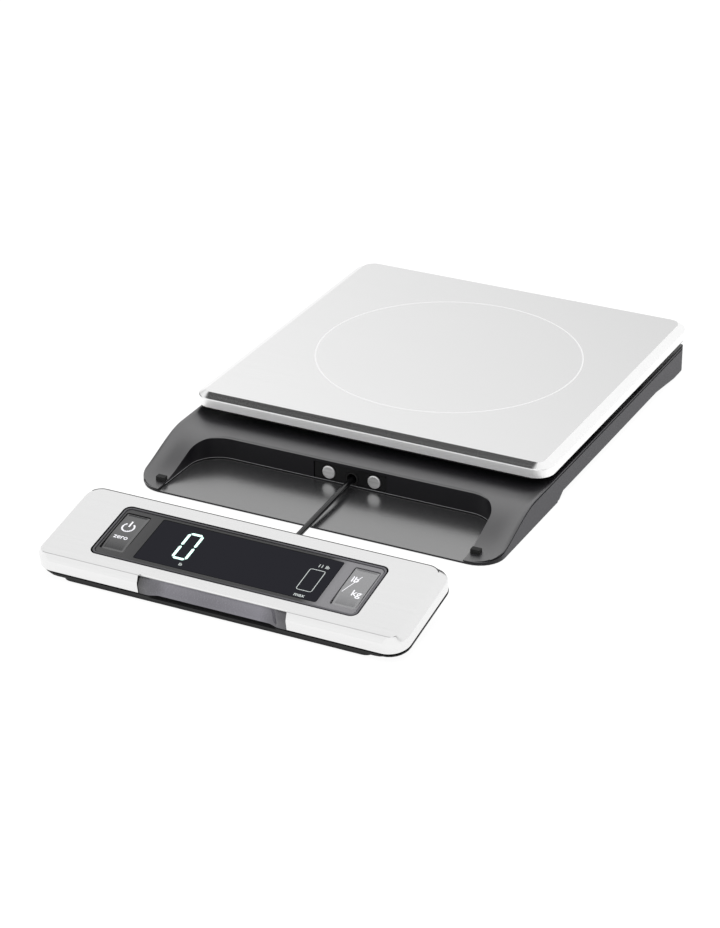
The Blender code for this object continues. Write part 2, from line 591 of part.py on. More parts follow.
def display_housing():
    end = FLANGE_INSET
    span = (-RIM_HALF + FLANGE_INSET_LEFT, RIM_HALF - end)
    housing = slab("display_housing", rounded(span, (RIM_FRONT + end, RIM_REAR - end), 0.0082, 0.0072, 7),
                   (FLANGE_BOTTOM, FLANGE_TOP), BLACK_PLASTIC, DISPLAY)
    lip = slab("display_lip", rounded((-RIM_HALF + LIP_INSET, RIM_HALF - LIP_INSET), (RIM_FRONT + end, LIP_REAR),
                                      0.0082, 0.0020, 7),
               (LIP_BOTTOM, FLANGE_BOTTOM + 0.0002), parent=DISPLAY)
    join(housing, lip)
    cut(housing, slab("grip_lip", grip_lip_outline(), (FLANGE_BOTTOM + 0.0001, 0.0), parent=DISPLAY))
    x = DISPLAY_BACK[0]
    body = slab("display_body", rounded((x - BODY_HALF, x + BODY_HALF), (BODY_FRONT, BODY_REAR), 0.0040, 0.0140),
                (BODY_BOTTOM, 0.0200))
    cut(body, box("above_flange", (-0.1000, 0.1000), (-0.0700, 0.0300), (FLANGE_TOP - 0.0004, 0.0400),
                  parent=DISPLAY))
    join(housing, body)
    skin = BODY_SKIN
    cut(housing, slab("display_hollow",
                      rounded((x - BODY_HALF + skin, x + BODY_HALF - skin), (BODY_FRONT + 0.0070, BODY_REAR - skin),
                              0.0030, 0.0126),
                      (BODY_BOTTOM + skin, 0.0300)))
    for place, y in (("front", BODY_FRONT + 0.0060), ("rear", BODY_REAR - 0.0060)):
        pocket = 0.0003
        cut(housing, box(f"display_foot_pocket_{place}", (x - 0.0450 - pocket, x + 0.0450 + pocket),
                         (y - 0.0022 - pocket, y + 0.0022 + pocket), (-0.0010, 0.0016)))
        box(f"display_foot_{place}", (x - 0.0450, x + 0.0450), (y - 0.0022, y + 0.0022), (0.0, 0.0013), RUBBER)
    for side, place in ((-1, "left"), (1, "right")):
        xs = (x + side * MAGNET_HALF_SPACING - 0.0040, x + side * MAGNET_HALF_SPACING + 0.0040)
        cut(housing, box(f"strike_pocket_{place}", (xs[0] - GAP, xs[1] + GAP),
                         (BODY_REAR - 0.0010, BODY_REAR + 0.0020), (0.0025, 0.0067)))
        box(f"display_strike_{place}", xs, (BODY_REAR - 0.0007, BODY_REAR), (0.0028, 0.0064), BRIGHT_METAL)
    cut(housing, rod("relief_hole", (cord_across(BODY_REAR), CORD_HEIGHT), (BODY_REAR - 0.0050, BODY_REAR + 0.0050),
                     0.0007, along_y=True, sides=12))


def grip_share(x):
    """0 where the grip is flush with the cover, 1 where it is hollowed."""
    share = min(max((GRIP_HALF - 0.0032 - abs(x)) / 0.0052, 0.0), 1.0)
    return share * share * (3.0 - 2.0 * share)


def grip_lip_outline():
    """Plan of the flange's front that is cut away below the grip."""
    front = RIM_FRONT + FLANGE_INSET
    steps = [-GRIP_HALF + 0.0032 + 2 * (GRIP_HALF - 0.0032) * step / 40 for step in range(41)]
    bow = [(x, front - 0.0001 + 0.0012 * grip_share(x)) for x in reversed(steps)]
    return [(steps[0], front - 0.0030), (steps[-1], front - 0.0030)] + bow


def finger_grip():
    """Scooped insert in the opening of the cover's front edge."""
    top, bottom, rear = -STEEL - GAP, FLANGE_TOP + GAP, -0.0380
    flush = ((-0.0427, top), (-0.0442, -0.0024), (-0.0452, -0.0038), (-0.0452, -0.0054), (-0.0452, -0.0069),
             (-0.0452, bottom))
    hollow = ((-0.0419, top), (-0.0412, -0.0024), (-0.0411, -0.0038), (-0.0415, -0.0054), (-0.0426, -0.0069),
              (-0.0440, bottom))
    inner = [GRIP_HALF - 0.0032 - 0.0052 * step / 8 for step in range(9)]
    stations = [GRIP_HALF] + inner + [-x for x in reversed(inner)] + [-GRIP_HALF]
    rings = []
    for x in stations:
        share = grip_share(x)
        face = [(x, a[0] + (b[0] - a[0]) * share, a[1]) for a, b in zip(flush, hollow)]
        rings.append(face + [(x, rear, bottom), (x, rear, top)])
    loft("finger_grip", rings, BEZEL_PLASTIC, DISPLAY)


def crowned_button(name, xs):
    """A key whose top curves down towards the front and the rear."""
    low, high, back, fore = BUTTON
    rings = []
    for step in range(11):
        share = step / 10 * 2 - 1
        y = (fore + back) / 2 + (back - fore) / 2 * share
        top = -0.0003 - BUTTON_CROWN[0 if share < 0 else 1] * share * share
        rings.append([(xs[0], y, -0.0027), (xs[1], y, -0.0027), (xs[1], y, top), (xs[0], y, top)])
    loft(name, rings, BLACK_PLASTIC, DISPLAY)


def display_face():
    half, rear, front = BEZEL
    bezel = slab("display_bezel", rounded((-half, half), (front, rear), 0.0030), (-0.0017, -0.0002),
                 BEZEL_PLASTIC, DISPLAY)
    wide, far, near = WINDOW
    cut(bezel, slab("window_opening", rounded((-wide - GAP, wide + GAP), (near - GAP, far + GAP), 0.0009, steps=2),
                    (-0.0050, 0.0050), parent=DISPLAY))
    slab("display_window", rounded((-wide, wide), (near, far), 0.0006, steps=2), (-0.0014, -0.0003),
         WINDOW_GLOSS, DISPLAY)
    low, high, back, fore = BUTTON
    for name, xs in (("power", (-high, -low)), ("units", (low, high))):
        cut(bezel, slab(f"button_opening_{name}", rounded((xs[0] - GAP, xs[1] + GAP), (fore - GAP, back + GAP),
                                                          0.0009, steps=2), (-0.0050, 0.0050), parent=DISPLAY))
        crowned_button(f"button_{name}", xs)
        box(f"switch_{name}", ((xs[0] + xs[1]) / 2 - 0.0030, (xs[0] + xs[1]) / 2 + 0.0030),
            ((fore + back) / 2 - 0.0030, (fore + back) / 2 + 0.0030), (-0.0045, -0.0034), BRIGHT_METAL, DISPLAY)


def display_electronics():
    box("digit_module", (-0.0380, 0.0380), (-0.0330, -0.0105), (-0.0045, -0.0018), BLACK_PLASTIC, DISPLAY)
    box("display_board", (-0.0570, 0.0570), (-0.0355, -0.0080), (-0.0060, -0.0048), BOARD_GREEN, DISPLAY)


# Cord --------------------------------------------------------------------

def cord_height(y):
    """The lead runs parallel to the slide, so it rises towards the dock."""
    return CORD_HEIGHT + (y - BODY_REAR) * SLIDE[2] / SLIDE[1]


def cord_across(y):
    return DISPLAY_BACK[0] + CORD_SHIFT + (y - BODY_REAR) * SLIDE[0] / SLIDE[1]


def tube(name, points, radius, paint, sides=2):
    curve = bpy.data.curves.new(name, "CURVE")
    curve.dimensions = "3D"
    curve.bevel_depth = radius
    curve.bevel_resolution = sides
    curve.use_fill_caps = True
    spline = curve.splines.new("POLY")
    spline.points.add(len(points) - 1)
    for point, place in zip(spline.points, points):
        point.co = (*place, 1.0)
    item = bpy.data.objects.new(name, curve)
    curve.materials.append(paint)
    item.parent = SCALE
    PIECES.objects.link(item)
    return item


def cord():
    relief_tip = BODY_REAR + GAP + RELIEF_LENGTH
    cone("display_strain_relief", (cord_across(BODY_REAR), CORD_HEIGHT), (BODY_REAR + GAP, relief_tip),
         (0.00155, 0.0013), RUBBER, along_y=True)
    start, steps = relief_tip + GAP, 24
    lead = []
    for step in range(steps + 1):
        y = start + (LEAD_END - start) * step / steps
        lead.append((cord_across(y), y, cord_height(y)))
    tube("cord_lead", lead, CORD_RADIUS, CORD_JACKET)
    coil = [(0.0, COIL_REACH[0] + (COIL_REACH[1] - COIL_REACH[0]) * step / 10, COIL_HEIGHT) for step in range(11)]
    tube("cord_coil", coil, COIL_RADIUS, CORD_JACKET)


platform()
base_housing()
base_bottom()
battery_door()
battery_set()
load_cells()
base_fittings()
display_shell()
display_housing()
finger_grip()
display_face()
display_electronics()
cord()
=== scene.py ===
"""Looks for the kitchen scale with a pull-out display.

Metres, +Z up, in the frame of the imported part: the counter is at z = 0 and -Y
faces the person who reads the display.  Plans are drawn with y measured from
the front edge of the weighing platform, as in the part's own drawing, and
PLAN moves them into the frame.  Pieces of the display are drawn on its sloped
face, with the face's rear edge at y = 0 and its surface at z = 0, and DISPLAY
moves them into the frame.
"""

import json
import math

import bmesh
import bpy
from mathutils import Matrix, Vector


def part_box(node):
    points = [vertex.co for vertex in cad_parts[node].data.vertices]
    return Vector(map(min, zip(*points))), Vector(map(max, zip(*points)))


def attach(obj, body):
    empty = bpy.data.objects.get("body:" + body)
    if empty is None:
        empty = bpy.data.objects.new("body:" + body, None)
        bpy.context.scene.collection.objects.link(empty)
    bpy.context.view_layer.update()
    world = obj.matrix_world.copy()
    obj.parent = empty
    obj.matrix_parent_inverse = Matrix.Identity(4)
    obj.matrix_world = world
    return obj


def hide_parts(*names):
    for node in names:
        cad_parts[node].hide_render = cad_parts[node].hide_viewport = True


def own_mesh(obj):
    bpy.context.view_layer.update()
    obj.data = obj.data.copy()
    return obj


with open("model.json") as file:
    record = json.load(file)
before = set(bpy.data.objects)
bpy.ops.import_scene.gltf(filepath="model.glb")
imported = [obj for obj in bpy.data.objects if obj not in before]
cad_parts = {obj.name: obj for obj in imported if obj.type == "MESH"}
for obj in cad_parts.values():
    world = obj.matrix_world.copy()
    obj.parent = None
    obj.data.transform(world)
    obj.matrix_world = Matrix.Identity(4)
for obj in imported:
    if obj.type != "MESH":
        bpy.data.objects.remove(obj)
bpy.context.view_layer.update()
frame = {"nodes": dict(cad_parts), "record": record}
NODES = frame["nodes"]

# Sizes and places shared with the part -----------------------------------
PLATE_LOW, PLATE_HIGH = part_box("platform_cover")
PLATE_HALF, PLATE_DEPTH = PLATE_HIGH.x, PLATE_HIGH.y - PLATE_LOW.y
PLAN_Y = PLATE_LOW.y                    # frame y of the platform's front edge
TOP = PLATE_HIGH.z
TILT = math.radians(11.36)
DISPLAY_BACK = Vector((0.0018, -0.09226 + PLAN_Y, 0.0200))
DISPLAY = Matrix.Translation(DISPLAY_BACK) @ Matrix.Rotation(TILT, 4, "X")
PLAN = Matrix.Translation((0.0, PLAN_Y, 0.0))
STEEL_SHEET = 0.0008

PLATE_CORNERS, PLATE_TOP_CORNERS = (0.0080, 0.0105), (0.0030, 0.0055)
PLATE_BEVEL, PLATE_DROP, PLATE_SIDE = 0.00377, 0.00188, 0.0039
RING_RADIUS, RING_WIDTH = 0.0588, 0.00045

BASE_HALF, BASE_FRONT, BASE_REAR = 0.0829, -0.0530, 0.1600
LEFT_INSET = 0.0018
BASE_FRONT_CORNER, BASE_REAR_CORNER = 0.0115, 0.0060
SKIRT_BOTTOM, ARCH_BOTTOM = 0.0016, 0.0040
ARCH_RUN = (0.0130, 0.0170, 0.1235, 0.1450)
ROOF, ROOF_SKIN, WALL = 0.0115, 0.0018, 0.0018
RIDGE, RIDGE_FALL, RIDGE_RUN = 0.0133, 0.0099, (-0.0120, -0.0520)
DISH_FALL, DISH_RUN = 0.0093, (-0.0120, -0.0510)
DISH_INNER, DISH_OUTER, DISH_POWER = 0.0690, 0.0821, 3.0
ARM_INNER, ARM_FLARE = 0.0690, 0.0006
DOCK_WALL, DOCK_CORNER = -0.0140, 0.0135
GROOVE_BELOW, GROOVE_WIDTH, GROOVE_DEPTH = 0.0006, 0.0006, 0.0005
PEG_X, PEG_Y = (0.0698, 0.0738), (-0.0469, -0.0443)
PAN_HALF = 0.0780
BAY = (0.0100, 0.0548, 0.0590, 0.1066)
BAY_ROOF, BAY_SKIN = 0.0125, 0.0014
PORT_HALF, PORT_LOW, PORT_HIGH = 0.0165, 0.0020, 0.0092
MAGNET_RADIUS, MAGNET_HALF_SPACING, MAGNET_HEIGHT = 0.0030, 0.0105, 0.0054
MAGNET_MIDDLE = 0.0005
CELL_SPOTS = [(side * 0.0600, y) for y in (0.0260, 0.1420) for side in (-1, 1)]
SCREW_SPOTS = [(-0.0700, 0.0060), (0.0700, 0.0060), (-0.0700, 0.1220), (0.0700, 0.1220)]
FOOT_SPOTS = [(-0.0751, -0.0300), (0.0751, -0.0300), (-0.0700, 0.1470), (0.0700, 0.1470)]
FOOT_RADIUS, FOOT_HEIGHT = 0.0036, 0.0017
PLACES = ("front_left", "front_right", "rear_left", "rear_right")

FACE_HALF, FACE_FRONT, FACE_REAR = 0.0775, -0.0437, -0.0001
RIM_HALF, RIM_FRONT, RIM_REAR = 0.0803, -0.04545, 0.0024
RIM_CORNERS, FACE_CORNERS = (0.0085, 0.0075), (0.0034, 0.0060)
COVER_DEPTH, COVER_EDGE = 0.0078, -0.0075
BEZEL_HALF, BEZEL_REAR, BEZEL_FRONT = 0.0580, -0.0067, -0.0375
WINDOW_HALF, WINDOW_REAR, WINDOW_FRONT = 0.0397, -0.00945, -0.03435
BUTTON_LOW, BUTTON_HIGH, BUTTON_REAR, BUTTON_FRONT = 0.0452, 0.0556, -0.0105, -0.0330
BUTTON_CROWN, KEY_RECESS = (0.0008, 0.0002), 0.00016
GRIP_HALF, GRIP_TOP = 0.0320, -0.0428
GAP = 0.0003

# Cord, from the display's strain relief to its end behind the dock wall ----
CORD_DIAMETER = 0.0024
CORD_SHIFT = 0.0012                     # to the right of the display's middle
CORD_HEIGHT, CORD_FROM, CORD_TO = 0.0016, -0.09976, -0.0060
RELIEF_TIP = CORD_FROM + 0.0073
SLIDE = (-0.0018, 0.08526, 0.0032)
SLEEVE_STEPS, SLEEVE_RIDGE = 64, 0.0004


def on_cord(y):
    """The point of the taut cord at that y of the plan."""
    share = (y - CORD_FROM) / SLIDE[1]
    return Vector((DISPLAY_BACK.x + CORD_SHIFT + share * SLIDE[0], y + PLAN_Y, CORD_HEIGHT + share * SLIDE[2]))


# Camera and light --------------------------------------------------------
CAMERA_AT = (0.47411, -0.959775 + PLAN_Y, 0.54112)
CAMERA_TARGET = (0.01257, -0.02977 + PLAN_Y, 0.0215)
CAMERA_LENS = 110.86
# Each dark gap in the bright room: direction, angle of its core, angle where it ends, brightness
DARK_GAPS = (((-0.41, 0.10, 0.91), 9.0, 19.0, 0.04),
             ((0.76, -0.36, 0.22), 14.0, 24.0, 0.04),
             ((-0.97, 0.22, 0.03), 14.0, 30.0, 0.10))


def srgb(red, green, blue):
    """A colour given as 0-255 screen values, as the linear values nodes use."""
    def linear(value):
        value /= 255
        return value / 12.92 if value <= 0.04045 else ((value + 0.055) / 1.055) ** 2.4
    return (linear(red), linear(green), linear(blue), 1.0)


# Camera and cord first -----------------------------------------------------

def look_at(item, target):
    direction = Vector(target) - item.location
    item.rotation_euler = direction.to_track_quat("-Z", "Y").to_euler()


def add_camera():
    data = bpy.data.cameras.new("camera")
    data.sensor_width = 36.0
    data.lens = CAMERA_LENS
    data.clip_end = 20.0
    camera = bpy.data.objects.new("camera", data)
    camera.location = CAMERA_AT
    bpy.context.scene.collection.objects.link(camera)
    look_at(camera, CAMERA_TARGET)
    bpy.context.scene.camera = camera


def link(name, data):
    item = bpy.data.objects.new(name, data)
    bpy.context.scene.collection.objects.link(item)
    return item


def add_cord():
    start, end = on_cord(RELIEF_TIP + GAP), on_cord(CORD_TO)
    curve = bpy.data.curves.new("display_cord", "CURVE")
    curve.dimensions = "3D"
    curve.bevel_depth = 1.0
    curve.bevel_resolution = 6
    curve.use_fill_caps = True
    spline = curve.splines.new("POLY")
    count = 24
    spline.points.add(count)
    for index, point in enumerate(spline.points):
        point.co = (*start.lerp(end, index / count), 1.0)
        point.radius = CORD_DIAMETER / 2
    cord = link("display_cord", curve)
    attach(cord, "display")
    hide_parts("cord_lead")
    return cord


add_camera()
CORD = add_cord()


# Materials -----------------------------------------------------------------

class Paint:
    """A material's node tree with short calls for the nodes used here."""

    def __init__(self, name):
        self.material = bpy.data.materials.new(name)
        self.material.use_nodes = True
        self.nodes = self.material.node_tree.nodes
        self.links = self.material.node_tree.links
        self.shader = self.nodes["Principled BSDF"]
        self.place = self.node("ShaderNodeTexCoord").outputs["Object"]

    def node(self, kind, **settings):
        node = self.nodes.new(kind)
        for key, value in settings.items():
            if key in node.inputs:
                node.inputs[key].default_value = value
            else:
                setattr(node, key, value)
        return node

    def set(self, **values):
        for key, value in values.items():
            self.shader.inputs[key.replace("_", " ")].default_value = value
        return self

    def wire(self, source, target):
        if isinstance(target, str):
            target = self.shader.inputs[target]
        self.links.new(source, target)

    def stretched(self, scale):
        node = self.node("ShaderNodeMapping")
        node.inputs["Scale"].default_value = scale
        self.wire(self.place, node.inputs["Vector"])
        return node.outputs["Vector"]

    def noise(self, vector, scale, detail=3.0, roughness=0.5):
        node = self.node("ShaderNodeTexNoise", Scale=scale, Detail=detail, Roughness=roughness)
        self.wire(vector, node.inputs["Vector"])
        return node.outputs["Fac"]

    def ramp(self, value, stops):
        node = self.node("ShaderNodeValToRGB")
        band = node.color_ramp
        while len(band.elements) < len(stops):
            band.elements.new(0.5)
        for element, (place, colour) in zip(band.elements, stops):
            element.position = place
            element.color = colour
        self.wire(value, node.inputs["Fac"])
        return node.outputs["Color"]

    def span(self, value, low, high, low_in=0.0, high_in=1.0):
        node = self.node("ShaderNodeMapRange")
        for key, number in (("From Min", low_in), ("From Max", high_in), ("To Min", low), ("To Max", high)):
            node.inputs[key].default_value = number
        self.wire(value, node.inputs["Value"])
        return node.outputs["Result"]

    def maths(self, operation, first, second=None):
        node = self.node("ShaderNodeMath", operation=operation)
        for index, value in enumerate((first, second)):
            if isinstance(value, (int, float)):
                node.inputs[index].default_value = value
            elif value is not None:
                self.wire(value, node.inputs[index])
        return node.outputs[0]

    def mix(self, amount, first, second):
        node = self.node("ShaderNodeMix", data_type="RGBA")
        for name, value in (("Factor", amount), ("A", first), ("B", second)):
            socket = [s for s in node.inputs if s.name == name and s.enabled][0]
            if isinstance(value, (int, float, tuple)):
                socket.default_value = value
            else:
                self.wire(value, socket)
        return [s for s in node.outputs if s.enabled][0]

    def axis(self, name):
        node = self.node("ShaderNodeSeparateXYZ")
        self.wire(self.place, node.inputs[0])
        return node.outputs[name]

    def bump(self, height, strength, distance):
        node = self.node("ShaderNodeBump", Strength=strength, Distance=distance)
        self.wire(height, node.inputs["Height"])
        self.wire(node.outputs["Normal"], "Normal")


def grey(level, alpha=1.0):
    return (level, level, level, alpha)


def brushed_steel(name, tone=0.80, rough=(0.20, 0.30), ring=None, contrast=0.03):
    """Fine straight brushing along x, slow tone changes and, on the platform, an etched ring and a painted shade that
    darkens it towards the rear right.
    """
    paint = Paint(name).set(Metallic=1.0, IOR=1.45)
    grain = paint.noise(paint.stretched((10.0, 5200.0, 900.0)), 1.0, 4.0, 0.7)
    coarse = paint.noise(paint.stretched((4.0, 900.0, 300.0)), 1.0, 3.0, 0.6)
    cloud = paint.noise(paint.stretched((1.0, 1.0, 1.0)), 14.0, 2.0, 0.5)
    mixed = paint.maths("ADD", paint.maths("MULTIPLY", grain, 0.6), paint.maths("MULTIPLY", coarse, 0.4))
    colour = paint.ramp(mixed, [(0.30, grey(tone * (1 - contrast))), (0.70, grey(tone * (1 + contrast)))])
    roughness = paint.span(paint.maths("ADD", mixed, paint.maths("MULTIPLY", cloud, 0.25)), *rough, 0.3, 0.9)
    if ring:
        centre, radius, width = ring
        node = paint.node("ShaderNodeVectorMath", operation="DISTANCE")
        flat = paint.node("ShaderNodeMapping")
        flat.inputs["Scale"].default_value = (1.0, 1.0, 0.0)
        paint.wire(paint.place, flat.inputs["Vector"])
        paint.wire(flat.outputs["Vector"], node.inputs[0])
        node.inputs[1].default_value = centre
        off = paint.maths("ABSOLUTE", paint.maths("SUBTRACT", node.outputs["Value"], radius))
        line = paint.span(off, 1.0, 0.0, width * 0.25, width)
        # Painted shade: the platform's colour darkens towards its rear right.
        across = paint.maths("ADD", paint.axis("X"), paint.axis("Y"))
        colour = paint.mix(paint.span(across, 0.0, 1.0, -0.08, 0.23), colour, grey(tone * 0.80))
        colour = paint.mix(line, colour, grey(0.97))
        roughness = paint.maths("ADD", roughness, paint.maths("MULTIPLY", line, 0.12))
    paint.wire(colour, "Base Color")
    paint.wire(roughness, "Roughness")
    paint.bump(mixed, 0.10, 0.00003)
    return paint


def moulded(name, colour, rough, grain=0.5, cell=2600.0, ior=1.5, level=0.5, spread=0.10):
    """Spark-textured moulded plastic: a fine pebble with slight tone changes."""
    paint = Paint(name).set(IOR=ior, Specular_IOR_Level=level)
    pebble = paint.noise(paint.place, cell, 2.0, 0.6)
    cloud = paint.noise(paint.place, 60.0, 3.0, 0.5)
    dark = tuple(c * (1 - spread) for c in colour[:3]) + (1.0,)
    light = tuple(min(c * (1 + spread), 1.0) for c in colour[:3]) + (1.0,)
    paint.wire(paint.mix(paint.maths("ADD", paint.maths("MULTIPLY", pebble, 0.5),
                                     paint.maths("MULTIPLY", cloud, 0.5)), dark, light), "Base Color")
    paint.wire(paint.span(pebble, rough * 0.9, rough * 1.1, 0.3, 0.7), "Roughness")
    paint.bump(pebble, grain, 0.00004)
    return paint


def painted_light_along_x(paint, stops, low, high):
    """Adds a slow change of colour along x, between two places, to a moulded plastic: painted light and shade across a
    part.
    """
    place = paint.span(paint.axis("X"), 0.0, 1.0, low, high)
    shade = paint.ramp(place, stops)
    old = paint.shader.inputs["Base Color"].links[0].from_socket
    node = paint.node("ShaderNodeMix", data_type="RGBA", blend_type="MULTIPLY")
    factor, first, second = [s for s in node.inputs if s.enabled]
    factor.default_value = 1.0
    paint.wire(old, first)
    paint.wire(shade, second)
    paint.wire([s for s in node.outputs if s.enabled][0], "Base Color")
    return paint


def legend(name, colour, glow):
    """Printed or lit marks, with a slightly uneven edge to their brightness."""
    paint = Paint(name).set(Roughness=0.5, Emission_Strength=glow)
    tone = paint.noise(paint.place, 900.0, 2.0)
    dark = tuple(c * 0.90 for c in colour[:3]) + (1.0,)
    mixed = paint.mix(tone, dark, colour)
    paint.wire(mixed, "Base Color")
    paint.wire(mixed, "Emission Color")
    return paint


def dress(paint, *items):
    for item in items:
        data = item.data
        data.materials.clear()
        data.materials.append(paint.material)


PLATE_CENTRE = (0.0, PLAN_Y + PLATE_DEPTH / 2, 0.0)
STEEL = brushed_steel("brushed_stainless", 0.82, (0.15, 0.23))
PLATE_STEEL = brushed_steel("platform_stainless", 0.86, (0.16, 0.24), ring=(PLATE_CENTRE, RING_RADIUS, RING_WIDTH))
# Painted shade along the display's folds: dark at the rear fold, grey at the front fold.
FOLD_SHADE_DARK = brushed_steel("fold_in_shadow", 0.10, (0.4, 0.5))
FOLD_SHADE_GREY = brushed_steel("fold", 0.42, (0.3, 0.4))
HOUSING = moulded("textured_charcoal", srgb(22, 21, 25), 0.36, 0.26, ior=1.85, level=1.0)
# Painted shade: a darker, less glossy copy of the housing plastic for the dock's walls, the front skirt and the tray's
# edges.
CHARCOAL_SHADE = moulded("charcoal_painted_shade", srgb(20, 19, 23), 0.40, 0.20, level=0.3)
SKIRT_GREY = moulded("skirt_charcoal", srgb(50, 49, 54), 0.45, 0.30, level=0.3)
# Painted highlight: a light grey for the bead along the dock's seam.
SEAM_HIGHLIGHT = moulded("seam_highlight", srgb(150, 150, 152), 0.25, 0.05)
FLOOR_PLASTIC = moulded("polished_charcoal", srgb(40, 40, 41), 0.24, 0.08, cell=1400.0, ior=2.2, level=1.0, spread=0.08)
BLACK = moulded("satin_black", srgb(20, 20, 21), 0.40, 0.2, level=0.25)
BEZEL = moulded("bezel_grey", srgb(118, 117, 120), 0.34, 0.06, level=0.6)
BEZEL_RIM = moulded("bezel_rim_grey", srgb(96, 95, 100), 0.25, 0.05, level=0.6)
# The two keys are one plastic: the power key gets a shaded copy (painted shade), the units key a lit copy (painted
# light).
KEY_SHADED = moulded("key_painted_shade", srgb(18, 18, 21), 0.22, 0.03, ior=1.7, level=1.0)
KEY_LIT = moulded("key_painted_light", srgb(104, 104, 106), 0.24, 0.03, ior=1.9, level=1.0)
GRIP = moulded("grip_grey", srgb(128, 126, 135), 0.26, 0.0, ior=1.6, level=0.8, spread=0.04)
WINDOW = moulded("window_black", srgb(33, 33, 38), 0.10, 0.0, level=0.02, spread=0.04)
RUBBER = moulded("black_rubber", srgb(24, 24, 24), 0.75, 0.6)
SILICONE = moulded("grey_silicone", srgb(190, 190, 188), 0.6, 0.1)
BOARD = moulded("solder_mask", srgb(20, 84, 52), 0.4, 0.2, 900.0)
NICKEL = brushed_steel("nickel_plate", 0.72, (0.18, 0.28))
MAGNET = brushed_steel("magnet_plate", 0.90, (0.34, 0.46), contrast=0.20)
# Painted light: a brighter, rougher steel for the platform's sides and its right-facing slopes.
SIDE_STEEL_PAINTED_LIGHT = brushed_steel("side_stainless_painted_light", 0.97, (0.42, 0.52))
WRAP = moulded("battery_wrap", srgb(58, 72, 92), 0.3, 0.02)
JACKET = moulded("cord_jacket", srgb(8, 8, 9), 0.16, 0.03)
# Painted light: the keys' printed legend also glows a little.
WHITE_MARK_GLOW = legend("white_legend", srgb(232, 232, 236), 0.15)
GREY_MARK = legend("grey_legend", srgb(188, 194, 192), 0.15)
LIT = legend("lit_segment", srgb(206, 244, 234), 0.75)
# Painted light and shade along the finger grip, darkest at its curved ends as a painted dark reflection.
painted_light_along_x(GRIP, [(0.0, grey(0.05)), (0.16, grey(0.9)), (0.45, grey(0.75)), (0.80, grey(1.0)),
                      (0.92, grey(0.35)), (1.0, grey(0.15))], -GRIP_HALF + DISPLAY_BACK.x, GRIP_HALF + DISPLAY_BACK.x)

# Painted light and shade: the bezel's field is darkest through the middle and lightest at its right end.
painted_light_along_x(BEZEL, [(0.0, grey(0.16)), (0.12, grey(0.12)), (0.18, grey(0.07)), (0.79, grey(0.07)),
                       (0.86, grey(1.0))], -BEZEL_HALF + DISPLAY_BACK.x, BEZEL_HALF + DISPLAY_BACK.x)
# Painted light: the bezel's rim is lighter at its right end.
painted_light_along_x(BEZEL_RIM, [(0.0, grey(0.45)), (0.5, grey(0.35)), (0.9, grey(0.8))],
               -BEZEL_HALF + DISPLAY_BACK.x, BEZEL_HALF + DISPLAY_BACK.x)

BY_SLOT = {
    "brushed_steel": STEEL, "textured_charcoal": HOUSING, "polished_charcoal": FLOOR_PLASTIC,
    "black_plastic": BLACK, "bezel_grey": BEZEL, "window_black": WINDOW, "rubber": RUBBER,
    "silicone": SILICONE, "circuit_board": BOARD, "nickel": NICKEL, "battery_wrap": WRAP,
    "cord_jacket": JACKET,
}
for entry in frame["record"]["subparts"]:
    dress(BY_SLOT[entry["material_slot"]], NODES[entry["node"]])
BODY_OF = {}
for body, nodes in frame["record"]["behaviour"]["bodies"].items():
    for node in nodes:
        BODY_OF[node] = body
dress(JACKET, CORD)


# Mesh building ---------------------------------------------------------------

def arc(centre, radius, start, end, steps):
    """Points on part of a circle, with angles in quarter turns."""
    points = []
    for step in range(steps + 1):
        angle = math.radians(90.0 * (start + (end - start) * step / steps))
        points.append((centre[0] + radius * math.cos(angle), centre[1] + radius * math.sin(angle)))
    return points


def rounded(xs, ys, front_radius, rear_radius=None, steps=10):
    """Outline of a rectangle whose front and rear corners are rounded."""
    rear = front_radius if rear_radius is None else rear_radius
    front = front_radius
    return (arc((xs[1] - rear, ys[1] - rear), rear, 0, 1, steps)
            + arc((xs[0] + rear, ys[1] - rear), rear, 1, 2, steps)
            + arc((xs[0] + front, ys[0] + front), front, 2, 3, steps)
            + arc((xs[1] - front, ys[0] + front), front, 3, 4, steps))


def at_height(outline, z):
    return [(x, y, z) for x, y in outline]


def skin(name, rings, matrix=Matrix(), loop=False):
    """A closed skin through rings of the same number of points; loop joins the last to the first."""
    bm = bmesh.new()
    rows = [[bm.verts.new(matrix @ Vector(point)) for point in ring] for ring in rings]
    if loop:
        rows.append(rows[0])
    else:
        bm.faces.new(rows[0])
        bm.faces.new(rows[-1])
    for low, high in zip(rows, rows[1:]):
        for index in range(len(low)):
            after = (index + 1) % len(low)
            bm.faces.new((low[index], low[after], high[after], high[index]))
    bmesh.ops.recalc_face_normals(bm, faces=bm.faces)
    mesh = bpy.data.meshes.new(name)
    bm.to_mesh(mesh)
    bm.free()
    return link(name, mesh)


